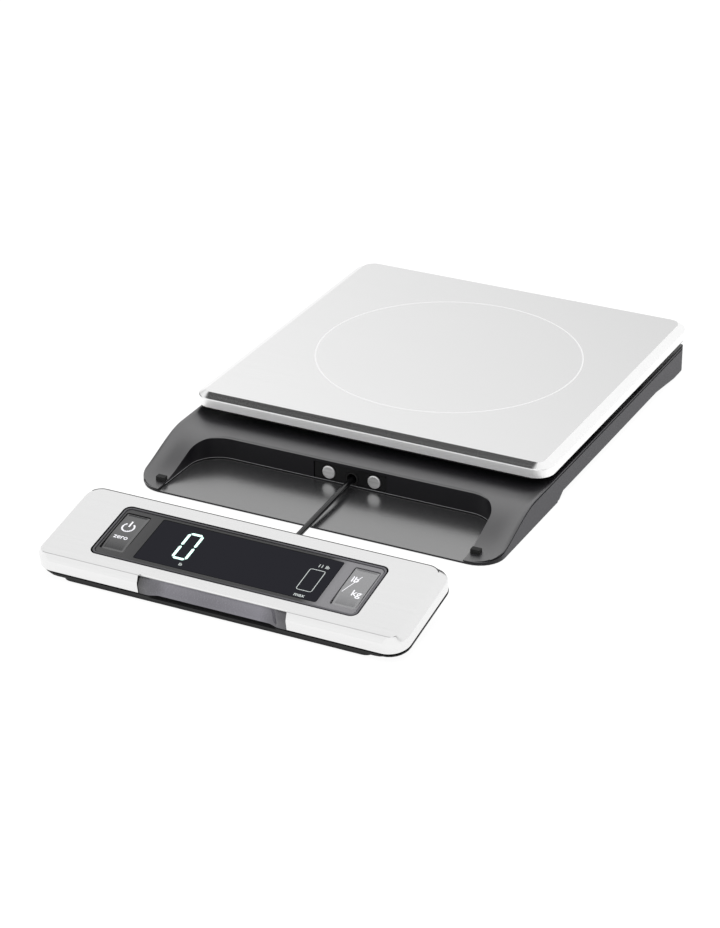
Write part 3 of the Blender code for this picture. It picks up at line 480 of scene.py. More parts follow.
def flat_plate(name, outline, zs, matrix=Matrix(), holes=(), edge=0.0):
    """A plate with holes and, with edge, a small round along its edges."""
    curve = bpy.data.curves.new(name, "CURVE")
    curve.dimensions = "2D"
    curve.fill_mode = "BOTH"
    curve.extrude = (zs[1] - zs[0]) / 2
    for loop in (outline, *holes):
        spline = curve.splines.new("POLY")
        spline.points.add(len(loop) - 1)
        for point, (x, y) in zip(spline.points, loop):
            point.co = (x, y, 0.0, 1.0)
        spline.use_cyclic_u = True
    guide = link(name + "_outline", curve)
    mesh = bpy.data.meshes.new_from_object(guide.evaluated_get(bpy.context.evaluated_depsgraph_get()))
    bpy.data.objects.remove(guide, do_unlink=True)
    bm = bmesh.new()
    bm.from_mesh(mesh)
    bmesh.ops.remove_doubles(bm, verts=bm.verts, dist=0.00001)
    bmesh.ops.dissolve_limit(bm, angle_limit=math.radians(0.5), verts=bm.verts, edges=bm.edges)
    bm.transform(Matrix.Translation((0, 0, (zs[0] + zs[1]) / 2)))
    bm.transform(matrix)
    bmesh.ops.recalc_face_normals(bm, faces=bm.faces)
    bm.to_mesh(mesh)
    bm.free()
    plate = link(name, mesh)
    if edge:
        rounding = plate.modifiers.new("edge", "BEVEL")
        rounding.width = edge
        rounding.segments = 2
        rounding.limit_method = "ANGLE"
        rounding.angle_limit = math.radians(50)
        settle(plate)
    return plate


def turned(name, profile, centre, matrix=Matrix(), sides=40):
    """A piece turned about z at a centre; profile is (radius, height) pairs from bottom to top."""
    rings = []
    for radius, z in profile:
        rings.append([(centre[0] + radius * math.cos(2 * math.pi * k / sides),
                       centre[1] + radius * math.sin(2 * math.pi * k / sides), z) for k in range(sides)])
    return skin(name, rings, matrix)


def settle(item):
    """Applies an object's modifiers to its mesh."""
    old = item.data
    item.data = bpy.data.meshes.new_from_object(item.evaluated_get(bpy.context.evaluated_depsgraph_get()))
    item.modifiers.clear()
    bpy.data.meshes.remove(old)
    return item


def boolean(item, tools, operation):
    for tool in tools:
        step = item.modifiers.new("step", "BOOLEAN")
        step.operation = operation
        step.object = tool
        step.solver = "EXACT"
    settle(item)
    for tool in tools:
        bpy.data.objects.remove(tool, do_unlink=True)
    return item


def cut(item, *tools):
    return boolean(item, tools, "DIFFERENCE")


def join(item, *tools):
    return boolean(item, tools, "UNION")


def block(name, xs, ys, zs, matrix=Matrix()):
    return skin(name, [[(x, y, z) for x, y in ((xs[0], ys[0]), (xs[1], ys[0]), (xs[1], ys[1]), (xs[0], ys[1]))]
                       for z in zs], matrix)


def smooth(item, angle=30.0):
    """Smooth shading up to an angle, with each large flat face kept flat."""
    item.data.shade_smooth()
    item.data.set_sharp_from_angle(angle=math.radians(angle))
    weighting = item.modifiers.new("weighting", "WEIGHTED_NORMAL")
    weighting.keep_sharp = True
    weighting.weight = 90
    settle(item)


def stands_for(item, paint, *nodes, angle=30.0):
    """The new piece takes the place of CAD nodes: same body, the finish given, and the nodes hidden."""
    smooth(item, angle)
    dress(paint, item)
    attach(item, BODY_OF[nodes[0]])
    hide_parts(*nodes)
    return item


def goes_with(item, paint, node, angle=30.0):
    """An added detail that rides with a node's body."""
    smooth(item, angle)
    dress(paint, item)
    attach(item, BODY_OF[node])
    return item


def blend_pair(pair, other, share):
    return tuple(a + (b - a) * share for a, b in zip(pair, other))


# Platform ----------------------------------------------------------------------

def sheet_rings(outer, inner, radii, levels):
    """Rings of a sheet cover; a level is (share of the way to the inner outline, height, extra inset)."""
    rings = []
    for share, z, inset in levels:
        xs = blend_pair(outer[0], inner[0], share)
        ys = blend_pair(outer[1], inner[1], share)
        front = radii[0][0] + (radii[1][0] - radii[0][0]) * share - inset
        rear = radii[0][1] + (radii[1][1] - radii[0][1]) * share - inset
        rings.append(at_height(rounded((xs[0] + inset, xs[1] - inset), (ys[0] + inset, ys[1] - inset),
                                       front, rear, 14), z))
    return rings


def platform_cover():
    half, depth = PLATE_HALF, PLATE_DEPTH
    outer = ((-half, half), (0.0, depth))
    flat = ((-half + PLATE_BEVEL, half - PLATE_BEVEL), (PLATE_BEVEL, depth - PLATE_BEVEL))
    low = TOP - PLATE_DROP - PLATE_SIDE
    levels = [(0.0, low, STEEL_SHEET), (0.0, low, 0.0001), (0.0, low + 0.0001, 0.0)]
    for share, drop in ((0.0, 0.00225), (0.010, 0.00206), (0.045, 0.00187), (0.110, 0.00168), (0.940, 0.000115),
                        (0.985, 0.00004), (1.020, 0.00001), (1.060, 0.0)):
        levels.append((share, TOP - drop, 0.0))
    outside = sheet_rings(outer, flat, (PLATE_CORNERS, PLATE_TOP_CORNERS), levels)
    inside = sheet_rings(outer, flat, (PLATE_CORNERS, PLATE_TOP_CORNERS),
                         [(1.0, TOP - STEEL_SHEET, 0.0005), (0.0, TOP - PLATE_DROP - 0.0010, STEEL_SHEET)])
    cover = skin("platform_sheet", inside + outside, PLAN)
    stands_for(cover, PLATE_STEEL, "platform_cover", angle=22.0)
    # Painted light on the platform's sides and right-facing slopes.
    cover.data.materials.append(SIDE_STEEL_PAINTED_LIGHT.material)
    for face in cover.data.polygons:
        if abs(face.normal.z) < 0.3 or face.normal.x > 0.15:
            face.material_index = 1


# Base ---------------------------------------------------------------------------

def ease(y, run):
    share = min(max((y - run[0]) / (run[1] - run[0]), 0.0), 1.0)
    return share * share * (3.0 - 2.0 * share)


def ridge_height(y):
    return RIDGE - RIDGE_FALL * ease(y, RIDGE_RUN)


def dish_height(y):
    return ROOF - DISH_FALL * ease(y, DISH_RUN)


def deck_tool():
    shares = [k / 14 for k in range(15)] + [1.16]
    stations = [BASE_FRONT - 0.0030 + 0.00115 * step for step in range(44)] + [BASE_REAR + 0.0030]
    rings = []
    for y in stations:
        low, high = dish_height(y), ridge_height(y)
        right, left = [], []
        for share in shares:
            z = low + (high - low) * min(share, 1.0) ** DISH_POWER
            right.append((DISH_INNER + (DISH_OUTER - DISH_INNER) * share, z))
            left.insert(0, (-DISH_INNER - (DISH_OUTER - LEFT_INSET - DISH_INNER) * share, z))
        outline = left + right + [(right[-1][0], 0.030), (left[0][0], 0.030)]
        rings.append([(x, y, z) for x, z in outline])
    return skin("deck_tool", rings, PLAN)


def dock_outline(grow=0.0, steps=18):
    front, wall = BASE_FRONT - 0.0100, DOCK_WALL + grow
    half, radius = ARM_INNER + grow, DOCK_CORNER + grow
    return ([(-half - ARM_FLARE, front), (half + ARM_FLARE, front)]
            + arc((half - radius, wall - radius), radius, 0, 1, steps)
            + arc((-half + radius, wall - radius), radius, 1, 2, steps))


def dock_tool():
    rings = []
    for grow, z in ((0.0, -0.0100), (0.0, ROOF - 0.0009), (0.00004, ROOF - 0.0007), (0.00013, ROOF - 0.00048),
                    (0.0003, ROOF - 0.00026), (0.00055, ROOF - 0.0001), (0.0010, ROOF + 0.00003), (0.0010, 0.0300)):
        rings.append(at_height(dock_outline(grow), z))
    return skin("dock_tool", rings, PLAN)


def rim_tools():
    middle = (BASE_HALF - BASE_FRONT_CORNER, BASE_FRONT + BASE_FRONT_CORNER)
    stops = [0.1620, 0.0900, 0.0200, 0.0000] + [-0.0020 * step for step in range(1, 21)]
    path = [((BASE_HALF, y), (1.0, 0.0)) for y in stops]
    for step in range(15):
        angle = math.radians(-80.0 * step / 14)
        out = (math.cos(angle), math.sin(angle))
        path.append(((middle[0] + BASE_FRONT_CORNER * out[0], middle[1] + BASE_FRONT_CORNER * out[1]), out))
    tools = []
    for side in (-1, 1):
        rings = []
        for (x, y), (out_x, out_y) in path:
            top = ridge_height(y) - GROOVE_BELOW
            ring = []
            for away, z in ((-GROOVE_DEPTH, top - GROOVE_WIDTH), (0.0015, top - GROOVE_WIDTH - 0.0002), (0.0015, top),
                            (-GROOVE_DEPTH, top)):
                inset = LEFT_INSET if side < 0 else 0.0
                ring.append((side * (x - inset + away * out_x), y + away * out_y, z))
            rings.append(ring)
        tools.append(skin(f"rim_tool_{side}", rings, PLAN))
    return tools


def base_housing():
    outline = rounded((-BASE_HALF + LEFT_INSET, BASE_HALF), (BASE_FRONT, BASE_REAR),
                      BASE_FRONT_CORNER, BASE_REAR_CORNER, 18)
    shell = skin("base_shell", [at_height(outline, SKIRT_BOTTOM), at_height(outline, 0.0140)], PLAN)
    cut(shell, deck_tool())
    join(shell, block("battery_boss", (BAY[0] - 0.0019, BAY[1] + 0.0019), (BAY[2] - 0.0019, BAY[3] + 0.0019),
                      (ROOF - 0.0010, BAY_ROOF + BAY_SKIN), PLAN))
    cut(shell, dock_tool(), *rim_tools())
    inner = PAN_HALF + 0.0015
    cut(shell,
        skin("hollow_tool", [at_height(rounded((-inner, inner), (DOCK_WALL + WALL, BASE_REAR - WALL), 0.0030, steps=4),
                                       z) for z in (-0.0100, ROOF - ROOF_SKIN)], PLAN),
        block("bay_tool", (BAY[0] - 0.0004, BAY[1] + 0.0004), (BAY[2] - 0.0004, BAY[3] + 0.0004), (0.0, BAY_ROOF),
              PLAN))
    for side in (-1, 1):
        xs = sorted((side * (PAN_HALF - 0.0010), side * (BASE_HALF + 0.0050)))
        start, level, fall, end = ARCH_RUN
        run = [(start, -0.0010), (end, -0.0010), (end, SKIRT_BOTTOM), (fall, ARCH_BOTTOM), (level, ARCH_BOTTOM),
               (start, SKIRT_BOTTOM)]
        cut(shell, skin("arch_tool", [[(x, y, z) for y, z in run] for x in xs], PLAN),
            turned("pocket_tool", [(0.0051, 0.0), (0.0051, 0.0040)], (side * FOOT_SPOTS[1][0], FOOT_SPOTS[1][1]),
                   PLAN, 32),
            block("peg_tool", sorted(side * (x + play) for x, play in zip(PEG_X, (-0.0001, 0.0001))),
                  (PEG_Y[0] - 0.0001, PEG_Y[1] + 0.0001), (0.0022, 0.0200), PLAN))
    port = 0.0003
    cut(shell, block("port_tool", (-PORT_HALF - port, PORT_HALF + port), (DOCK_WALL - 0.0050, DOCK_WALL + 0.0050),
                     (PORT_LOW - port, PORT_HIGH + port), PLAN))
    for spot in SCREW_SPOTS:
        join(shell, turned("boss", [(0.0034, 0.0042), (0.0034, ROOF - ROOF_SKIN + 0.0002)], spot, PLAN, 24))
        cut(shell, turned("boss_hole", [(0.0016, 0.0), (0.0016, 0.0085)], spot, PLAN, 20))
    for spot in CELL_SPOTS:
        cut(shell, turned("cell_hole", [(0.0045, 0.0080), (0.0045, 0.0120)], spot, PLAN, 28))
    stands_for(shell, HOUSING, "base_housing", angle=28.0)
    # Painted shade on the dock's inner walls and on the front skirt.
    shell.data.materials.append(CHARCOAL_SHADE.material)
    shell.data.materials.append(SKIRT_GREY.material)
    wall = DOCK_WALL + PLAN_Y
    for face in shell.data.polygons:
        centre, normal = face.center, face.normal
        inside = abs(centre.x) < ARM_INNER + 0.0012 and BASE_FRONT + PLAN_Y < centre.y < wall + 0.0012
        ahead = centre.y < BASE_FRONT + BASE_FRONT_CORNER + PLAN_Y and normal.y < -0.25
        if abs(normal.z) < 0.35:
            face.material_index = 1 if inside or ahead else 2


def seam_bead():
    """The bright line where the dock's wall meets its floor: a fine raised bead on the shell, coloured light grey as a
    painted highlight.
    """
    rings = []
    inner = dock_outline(0.0)[2:]
    inner = [(ARM_INNER + 0.0003, BASE_FRONT + 0.0060)] + inner + [(-ARM_INNER - 0.0003, BASE_FRONT + 0.0060)]
    for k, (x, y) in enumerate(inner):
        before, after = inner[max(k - 1, 0)], inner[min(k + 1, len(inner) - 1)]
        along = Vector((after[0] - before[0], after[1] - before[1])).normalized()
        side = Vector((-along.y, along.x))
        ring = []
        for turn in range(6):
            angle = math.pi * 2 * turn / 6
            away, up = 0.00011 * math.cos(angle), 0.00011 * math.sin(angle)
            ring.append((x + side.x * away, y + side.y * away, SKIRT_BOTTOM + 0.0002 + up))
        rings.append(ring)
    goes_with(skin("dock_seam_bead", rings, PLAN), SEAM_HIGHLIGHT, "base_housing", angle=70.0)


def dock_port():
    """Magnets at the back of the dock, turned so that they face the display."""
    facing = Matrix.Rotation(math.pi / 2, 4, "X")
    for side, place in ((-1, "left"), (1, "right")):
        middle = (MAGNET_MIDDLE + side * MAGNET_HALF_SPACING, DOCK_WALL, MAGNET_HEIGHT)
        spot = PLAN @ Matrix.Translation(middle) @ facing
        profile = [(MAGNET_RADIUS, -0.0030), (MAGNET_RADIUS, -0.0005), (MAGNET_RADIUS - 0.00008, -0.00028),
                   (MAGNET_RADIUS - 0.0003, -0.0001), (MAGNET_RADIUS - 0.0009, -0.0001), (0.0006, -0.0001)]
        stands_for(turned(f"magnet_{place}", profile, (0, 0), spot), MAGNET, f"dock_magnet_{place}", angle=40.0)


def base_feet():
    for place, spot in zip(PLACES, FOOT_SPOTS):
        profile = [(FOOT_RADIUS - 0.0007, 0.0), (FOOT_RADIUS - 0.0003, 0.00008), (FOOT_RADIUS - 0.00008, 0.0003),
                   (FOOT_RADIUS, 0.0006), (FOOT_RADIUS, FOOT_HEIGHT)]
        stands_for(turned(f"foot_{place}", profile, spot, PLAN), RUBBER, f"base_foot_{place}", angle=35.0)


def base_screws():
    """Pan heads with a cross recess."""
    for place, spot in zip(PLACES, SCREW_SPOTS):
        profile = [(0.0010, 0.0008), (0.0019, 0.00085), (0.0024, 0.0011), (0.0025, 0.0014), (0.0025, 0.0024),
                   (0.0013, 0.0024), (0.0013, 0.0080)]
        screw = turned(f"screw_{place}", profile, spot, PLAN)
        for across, along in ((0.0003, 0.0013), (0.0013, 0.0003)):
            cut(screw, block("recess", (spot[0] - across, spot[0] + across), (spot[1] - along, spot[1] + along),
                             (0.0, 0.0016), PLAN))
        stands_for(screw, NICKEL, f"base_screw_{place}")


def painted_shade_edges(node):
    """Painted shade on the edge of a lower tray, where the counter keeps it in shade."""
    tray = NODES[node].data
    tray.materials.append(CHARCOAL_SHADE.material)
    for face in tray.polygons:
        if abs(face.normal.z) < 0.35:
            face.material_index = 1


def stored_cord():
    """A ridged sleeve for the stored cord, in place of the cord coil."""
    low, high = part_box("cord_coil")
    across, up = (low[0] + high[0]) / 2, (low[2] + high[2]) / 2
    radius = (high[0] - low[0]) / 2
    rings = []
    for step in range(SLEEVE_STEPS + 1):
        reach = radius if step % 2 else radius - SLEEVE_RIDGE
        y = low[1] + (high[1] - low[1]) * step / SLEEVE_STEPS
        rings.append([(x, y, z) for x, z in arc((across, up), reach, 0, 4, 20)[:-1]])
    item = stands_for(skin("stored_cord_sleeve", rings), JACKET, "cord_coil")
    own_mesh(item)


# Display -------------------------------------------------------------------------

def display_cover():
    outer = ((-RIM_HALF, RIM_HALF), (RIM_FRONT, RIM_REAR))
    flat = ((-FACE_HALF, FACE_HALF), (FACE_FRONT, FACE_REAR))
    radii = (RIM_CORNERS, FACE_CORNERS)
    levels = [(0.0, COVER_EDGE, STEEL_SHEET), (0.0, COVER_EDGE, 0.0001), (0.0, COVER_EDGE + 0.0001, 0.0)]
    for share, z in ((0.0, -0.0040), (0.010, -0.0036), (0.045, -0.0032), (0.110, -0.00282), (0.935, -0.00021),
                     (0.985, -0.00007), (1.030, -0.00001), (1.080, 0.0)):
        levels.append((share, z, 0.0))
    outside = sheet_rings(outer, flat, radii, levels)
    inside = sheet_rings(outer, flat, radii, [(1.0, -STEEL_SHEET, 0.0002), (0.0, -0.0040, STEEL_SHEET)])
    cover = skin("display_sheet", inside + outside, DISPLAY)
    hole = rounded((-BEZEL_HALF - GAP, BEZEL_HALF + GAP), (BEZEL_FRONT - GAP, BEZEL_REAR + GAP), 0.0033)
    cut(cover, skin("bezel_tool", [at_height(hole, z) for z in (-0.0050, 0.0050)], DISPLAY),
        block("grip_tool", (-GRIP_HALF - GAP, GRIP_HALF + GAP), (RIM_FRONT - 0.0050, GRIP_TOP),
              (-COVER_DEPTH - 0.0050, 0.0010), DISPLAY),
        block("grip_room_tool", (-GRIP_HALF - GAP, GRIP_HALF + GAP), (RIM_FRONT - 0.0050, GRIP_TOP + 0.0028),
              (-COVER_DEPTH - 0.0050, -STEEL_SHEET - 0.0001), DISPLAY))
    stands_for(cover, STEEL, "display_cover", angle=22.0)


def crease_shade_lines():
    """Painted shade lines where the display's sheet is folded, darker along the rear."""
    def face(x, y):
        return 0.0
    fold = rounded((-FACE_HALF, FACE_HALF), (FACE_FRONT, FACE_REAR), *FACE_CORNERS, steps=8)
    goes_with(mark_mesh("rear_fold_shade", strip(fold[3:15], 0.00042), face, lift=0.00002), FOLD_SHADE_DARK, "display_cover")
    goes_with(mark_mesh("front_fold_shade", strip(fold[24:30], 0.00025), face, lift=0.00002), FOLD_SHADE_GREY, "display_cover")


def grip_share(x):
    share = min(max((GRIP_HALF - 0.0032 - abs(x)) / 0.0052, 0.0), 1.0)
    return share * share * (3.0 - 2.0 * share)


def finger_grip():
    top, bottom, rear = -STEEL_SHEET - GAP, -COVER_DEPTH, -0.0380
    flush = ((-0.0427, top), (-0.0435, -0.0016), (-0.0442, -0.0024), (-0.0449, -0.0032), (-0.0452, -0.0039),
             (-0.0452, -0.0046), (-0.0452, -0.0054), (-0.0452, -0.0062), (-0.0452, -0.0069), (-0.0452, bottom))
    hollow = ((-0.0419, top), (-0.0415, -0.0016), (-0.0412, -0.0024), (-0.0411, -0.0032), (-0.0411, -0.0039),
              (-0.04125, -0.0046), (-0.0416, -0.0054), (-0.0421, -0.0062), (-0.0428, -0.0069), (-0.0440, bottom))
    inner = [GRIP_HALF - 0.0032 - 0.0052 * step / 20 for step in range(21)]
    stations = [GRIP_HALF] + inner + [-x for x in reversed(inner)] + [-GRIP_HALF]
    rings = []
    for x in stations:
        share = grip_share(x)
        face = [(x, a[0] + (b[0] - a[0]) * share, a[1]) for a, b in zip(flush, hollow)]
        rings.append(face + [(x, rear, bottom), (x, rear, top)])
    stands_for(skin("grip_insert", rings, DISPLAY), GRIP, "finger_grip", angle=40.0)


def bezel_ring(inset, z):
    return at_height(rounded((-BEZEL_HALF + inset, BEZEL_HALF - inset), (BEZEL_FRONT + inset, BEZEL_REAR - inset),
                             0.0030 - inset * 0.7, steps=10), z)


def display_bezel():
    """A raised rim, a shadow groove inside it, and the field that holds the window and the keys."""
    profile = [(0.0003, -0.0016), (0.0003, -0.0003), (0.0004, -0.0001), (0.0006, 0.0), (0.0010, 0.0),
               (0.0011, -0.00006), (0.0012, -0.0003), (0.0012, -0.0016)]
    rim = skin("bezel_rim", [bezel_ring(*level) for level in profile], DISPLAY, loop=True)
    goes_with(rim, BEZEL_RIM, "display_bezel", angle=35.0)
    inset = 0.0014
    field = rounded((-BEZEL_HALF + inset, BEZEL_HALF - inset), (BEZEL_FRONT + inset, BEZEL_REAR - inset), 0.0020)
    holes = [rounded((-WINDOW_HALF - 0.0002, WINDOW_HALF + 0.0002), (WINDOW_FRONT - 0.0002, WINDOW_REAR + 0.0002),
                     0.0008, steps=4)]
    for xs in ((-BUTTON_HIGH, -BUTTON_LOW), (BUTTON_LOW, BUTTON_HIGH)):
        holes.append(rounded((xs[0] - GAP, xs[1] + GAP), (BUTTON_FRONT - GAP, BUTTON_REAR + GAP), 0.0009, steps=4))
    plate = flat_plate("bezel_field", field, (-0.0017, -0.0003), DISPLAY, holes, edge=0.00018)
    stands_for(plate, BEZEL, "display_bezel")


def display_window():
    outline = rounded((-WINDOW_HALF, WINDOW_HALF), (WINDOW_FRONT, WINDOW_REAR), 0.0007, steps=4)
    glass = flat_plate("window_glass", outline, (-0.0014, -0.0003), DISPLAY, edge=0.00015)
    stands_for(glass, WINDOW, "display_window")


def key_height(x, y):
    """A key's top, which curves down towards the front and the rear."""
    share = (y - (BUTTON_FRONT + BUTTON_REAR) / 2) / ((BUTTON_REAR - BUTTON_FRONT) / 2)
    return -0.0003 - BUTTON_CROWN[0 if share < 0 else 1] * share * share


def grid_block(name, xs, ys, top, bottom, matrix=Matrix()):
    """A solid block whose top follows a height over a grid of x and y stations."""
    bm = bmesh.new()
    rows = [[bm.verts.new(matrix @ Vector((x, y, top(x, y)))) for x in xs] for y in ys]
    for low, high in zip(rows, rows[1:]):
        for k in range(len(xs) - 1):
            bm.faces.new((low[k], low[k + 1], high[k + 1], high[k]))
    edge = rows[0] + [row[-1] for row in rows[1:]] + rows[-1][-2::-1] + [row[0] for row in rows[-2:0:-1]]
    flat = matrix.inverted()
    under = []
    for vertex in edge:
        place = flat @ vertex.co
        under.append(bm.verts.new(matrix @ Vector((place.x, place.y, bottom))))
    for k in range(len(edge)):
        after = (k + 1) % len(edge)
        bm.faces.new((edge[k], edge[after], under[after], under[k]))
    bm.faces.new(under)
    bmesh.ops.recalc_face_normals(bm, faces=bm.faces)
    mesh = bpy.data.meshes.new(name)
    bm.to_mesh(mesh)
    bm.free()
    return link(name, mesh)


def key_top(xs):
    """The height of a key between those two sides: softened edges and a fine raised border."""
    def top(x, y):
        away = min(x - xs[0], xs[1] - x, y - BUTTON_FRONT, BUTTON_REAR - y)
        soft = max(0.0003 - away, 0.0) / 0.0003
        inside = min(max((away - 0.0006) / 0.0003, 0.0), 1.0)
        return key_height(x, y) - 0.00028 * soft * soft - KEY_RECESS * inside
    return top


def stations(low, high, step=0.0008):
    """Places from low to high, close together near both ends."""
    near = [0.0, 0.0001, 0.0002, 0.0003, 0.0006, 0.0009]
    count = round((high - low) / step)
    middle = [low + 0.0009 + (high - low - 0.0018) * k / count for k in range(1, count)]
    return [low + d for d in near] + middle + [high - d for d in reversed(near)]


def display_keys():
    """Crowned keys with a fine raised border."""
    # Painted shade on the power key and painted light on the units key.
    for name, node, paint, xs in (("key_power", "button_power", KEY_SHADED, (-BUTTON_HIGH, -BUTTON_LOW)),
                                  ("key_units", "button_units", KEY_LIT, (BUTTON_LOW, BUTTON_HIGH))):
        key = grid_block(name, stations(*xs), stations(BUTTON_FRONT, BUTTON_REAR), key_top(xs), -0.0025, DISPLAY)
        stands_for(key, paint, node, angle=50.0)


# Marks on the display ---------------------------------------------------------------

def mark_mesh(name, shapes, height, lift=0.00003, thick=0.00004):
    """Thin marks that follow a surface; shapes are outlines in x and y on the sloped face."""
    bm = bmesh.new()
    for outline in shapes:
        low = [bm.verts.new(DISPLAY @ Vector((x, y, height(x, y) + lift - thick))) for x, y in outline]
        high = [bm.verts.new(DISPLAY @ Vector((x, y, height(x, y) + lift))) for x, y in outline]
        bm.faces.new(low)
        bm.faces.new(high)
        for k in range(len(outline)):
            after = (k + 1) % len(outline)
            bm.faces.new((low[k], low[after], high[after], high[k]))
    bmesh.ops.recalc_face_normals(bm, faces=bm.faces)
    mesh = bpy.data.meshes.new(name)
    bm.to_mesh(mesh)
    bm.free()
    return link(name, mesh)


def letters(name, text, centre, size, height, spread=1.0):
    """Generic legend in the built-in typeface, laid on a surface."""
    data = bpy.data.curves.new(name, "FONT")
    data.body = text
    data.size = size
    data.align_x = "CENTER"
    data.align_y = "CENTER"
    data.space_character = spread
    data.offset = size * 0.012
    data.extrude = 0.00002
    data.resolution_u = 3
    guide = link(name + "_outline", data)
    mesh = bpy.data.meshes.new_from_object(guide.evaluated_get(bpy.context.evaluated_depsgraph_get()))
    bpy.data.objects.remove(guide, do_unlink=True)
    for vertex in mesh.vertices:
        x, y = vertex.co.x + centre[0], vertex.co.y + centre[1]
        vertex.co = DISPLAY @ Vector((x, y, height(x, y) + vertex.co.z + 0.00002))
    return link(name, mesh)


def strip(points, width):
    """Outlines of a line of that width through points, one four-sided piece for each step."""
    shapes = []
    for (x0, y0), (x1, y1) in zip(points, points[1:]):
        along = Vector((x1 - x0, y1 - y0)).normalized() * width / 2
        across = Vector((-along.y, along.x))
        start, end = Vector((x0, y0)) - along * 0.25, Vector((x1, y1)) + along * 0.25
        shapes.append([tuple(start + across), tuple(start - across), tuple(end - across), tuple(end + across)])
    return shapes


def bar(start, end, width):
    """A display segment with pointed ends."""
    first, last = Vector(start), Vector(end)
    along = (last - first).normalized() * width / 2
    across = Vector((-along.y, along.x))
    return [tuple(p) for p in (first, first + along + across, last - along + across, last, last - along - across,
                               first + along - across)]


def window_marks():
    def glass(x, y):
        return -0.0003
    left, right, top, bottom = -0.0254, -0.0197, -0.0137, -0.0289
    middle, gap = (top + bottom) / 2, 0.00025
    segments = []
    for y in (top, bottom):
        segments.append(bar((left + gap, y), (right - gap, y), 0.0012))
    for x in (left, right):
        segments.append(bar((x, top - gap), (x, middle + gap), 0.0012))
        segments.append(bar((x, middle - gap), (x, bottom + gap), 0.0012))
    goes_with(mark_mesh("digit_segments", segments, glass), LIT, "display_window")
    goes_with(letters("digit_unit", "lb", (-0.0200, -0.0320), 0.0022, glass), GREY_MARK, "display_window")
    low, high, back, fore, corner = 0.0290, 0.0355, -0.0170, -0.0298, 0.0008
    outline = rounded((low, high), (fore, back), corner, steps=3)
    goes_with(mark_mesh("gauge_outline", strip(outline + outline[:1], 0.00028), glass), GREY_MARK, "display_window")
    goes_with(letters("gauge_top", "11 lb", (0.0334, -0.0145), 0.0025, glass), GREY_MARK, "display_window")
    goes_with(letters("gauge_bottom", "max", (0.0320, -0.0328), 0.0027, glass), GREY_MARK, "display_window")


def key_marks():
    def key(x, y):
        return key_height(x, y) - KEY_RECESS
    centre, radius = (-0.0510, -0.0184), 0.0025
    ring = []
    for step in range(33):
        angle = math.radians(90 + 38 + (360 - 76) * step / 32)
        ring.append((centre[0] + radius * math.cos(angle), centre[1] + radius * math.sin(angle)))
    shapes = strip(ring, 0.0007) + strip([(centre[0], centre[1] + 0.0005), (centre[0], centre[1] + 0.0038)], 0.0007)
    goes_with(mark_mesh("power_symbol", shapes, key), WHITE_MARK_GLOW, "button_power")
    goes_with(letters("power_word", "zero", (-0.0508, -0.0246), 0.0034, key, 1.0), WHITE_MARK_GLOW, "button_power")
    goes_with(letters("units_first", "lb", (0.0482, -0.0172), 0.0046, key), WHITE_MARK_GLOW, "button_units")
    goes_with(letters("units_second", "kg", (0.0522, -0.0246), 0.0046, key), WHITE_MARK_GLOW, "button_units")
    slash = [(0.0463 + 0.0037 * k / 12, -0.0250 + 0.0102 * k / 12) for k in range(13)]
    goes_with(mark_mesh("units_slash", strip(slash, 0.0003), key), WHITE_MARK_GLOW,
              "button_units")


# Painted shade on the lower tray's edges.
painted_shade_edges("base_bottom")
platform_cover()
base_housing()
seam_bead()
dock_port()
base_feet()
base_screws()
stored_cord()
display_cover()
crease_shade_lines()
finger_grip()
display_bezel()
display_window()
display_keys()
window_marks()
key_marks()


# Studio ----------------------------------------------------------------------

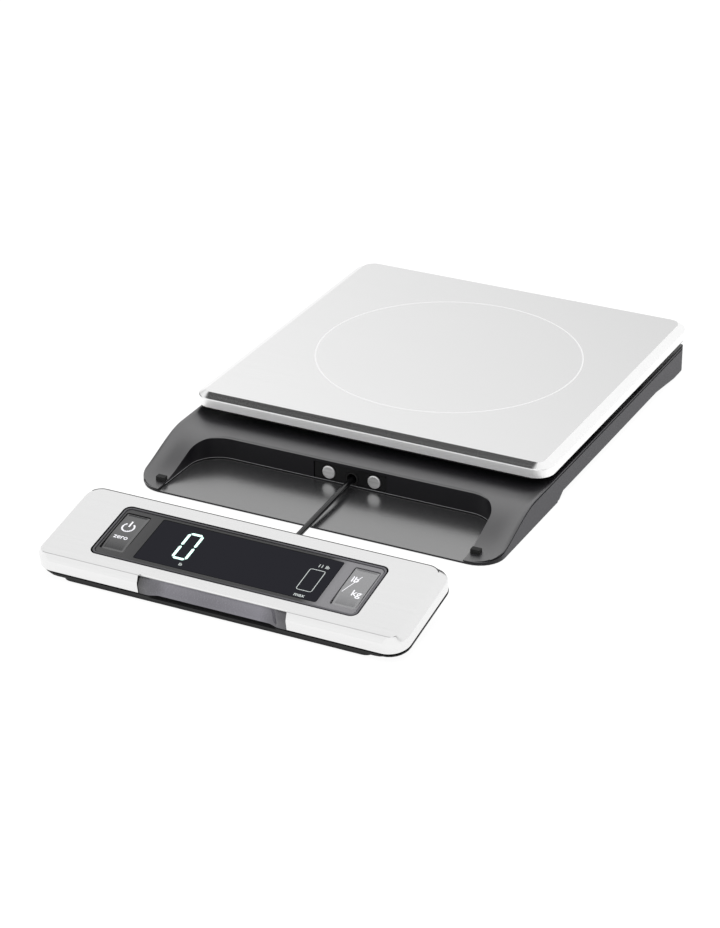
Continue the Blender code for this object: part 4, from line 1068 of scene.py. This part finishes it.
def add_floor():
    mesh = bpy.data.meshes.new("floor")
    half = 6.0
    mesh.from_pydata([(-half, -half, 0), (half, -half, 0), (half, half, 0), (-half, half, 0)], [], [(0, 1, 2, 3)])
    floor = link("floor", mesh)
    paint = Paint("pale_floor").set(Roughness=0.8, Emission_Strength=0.94)
    tone = paint.ramp(paint.noise(paint.place, 3.0), [(0.3, grey(0.995)), (0.7, grey(1.0))])
    paint.wire(tone, "Emission Color")
    paint.set(Base_Color=grey(0.12))
    paint.shader.inputs["Specular IOR Level"].default_value = 0.0
    dress(paint, floor)


def area_light(name, place, target, size, power):
    data = bpy.data.lights.new(name, "AREA")
    data.shape = "RECTANGLE"
    data.size, data.size_y = size
    data.energy = power
    lamp = link(name, data)
    lamp.location = place
    look_at(lamp, target)
    lamp.visible_glossy = False
    lamp.visible_camera = False
    return lamp


def add_world():
    """A bright room with three dark gaps, which steel shows on its front fold and on two corners."""
    world = bpy.data.worlds.new("studio")
    world.use_nodes = True
    tree = world.node_tree
    background = tree.nodes["Background"]
    background.inputs["Color"].default_value = grey(1.0)
    place = tree.nodes.new("ShaderNodeTexCoord")
    shade = None
    for towards, inner, outer, dark in DARK_GAPS:
        near = tree.nodes.new("ShaderNodeVectorMath")
        near.operation = "DOT_PRODUCT"
        near.inputs[1].default_value = Vector(towards).normalized()
        tree.links.new(place.outputs["Generated"], near.inputs[0])
        level = tree.nodes.new("ShaderNodeMapRange")
        level.interpolation_type = "SMOOTHSTEP"
        for key, number in (("From Min", math.cos(math.radians(outer))), ("From Max", math.cos(math.radians(inner))),
                            ("To Min", 1.0), ("To Max", dark)):
            level.inputs[key].default_value = number
        tree.links.new(near.outputs["Value"], level.inputs["Value"])
        if shade is None:
            shade = level.outputs["Result"]
        else:
            both = tree.nodes.new("ShaderNodeMath")
            both.operation = "MULTIPLY"
            tree.links.new(shade, both.inputs[0])
            tree.links.new(level.outputs["Result"], both.inputs[1])
            shade = both.outputs[0]
    tree.links.new(shade, background.inputs["Strength"])
    bpy.context.scene.world = world


def add_studio():
    add_world()
    bpy.context.scene.view_settings.view_transform = "Standard"
    area_light("overhead", (0.0, 0.2, 1.5), (0.0, 0.0, 0.0), (1.2, 1.2), 12.0)
    add_floor()


add_studio()
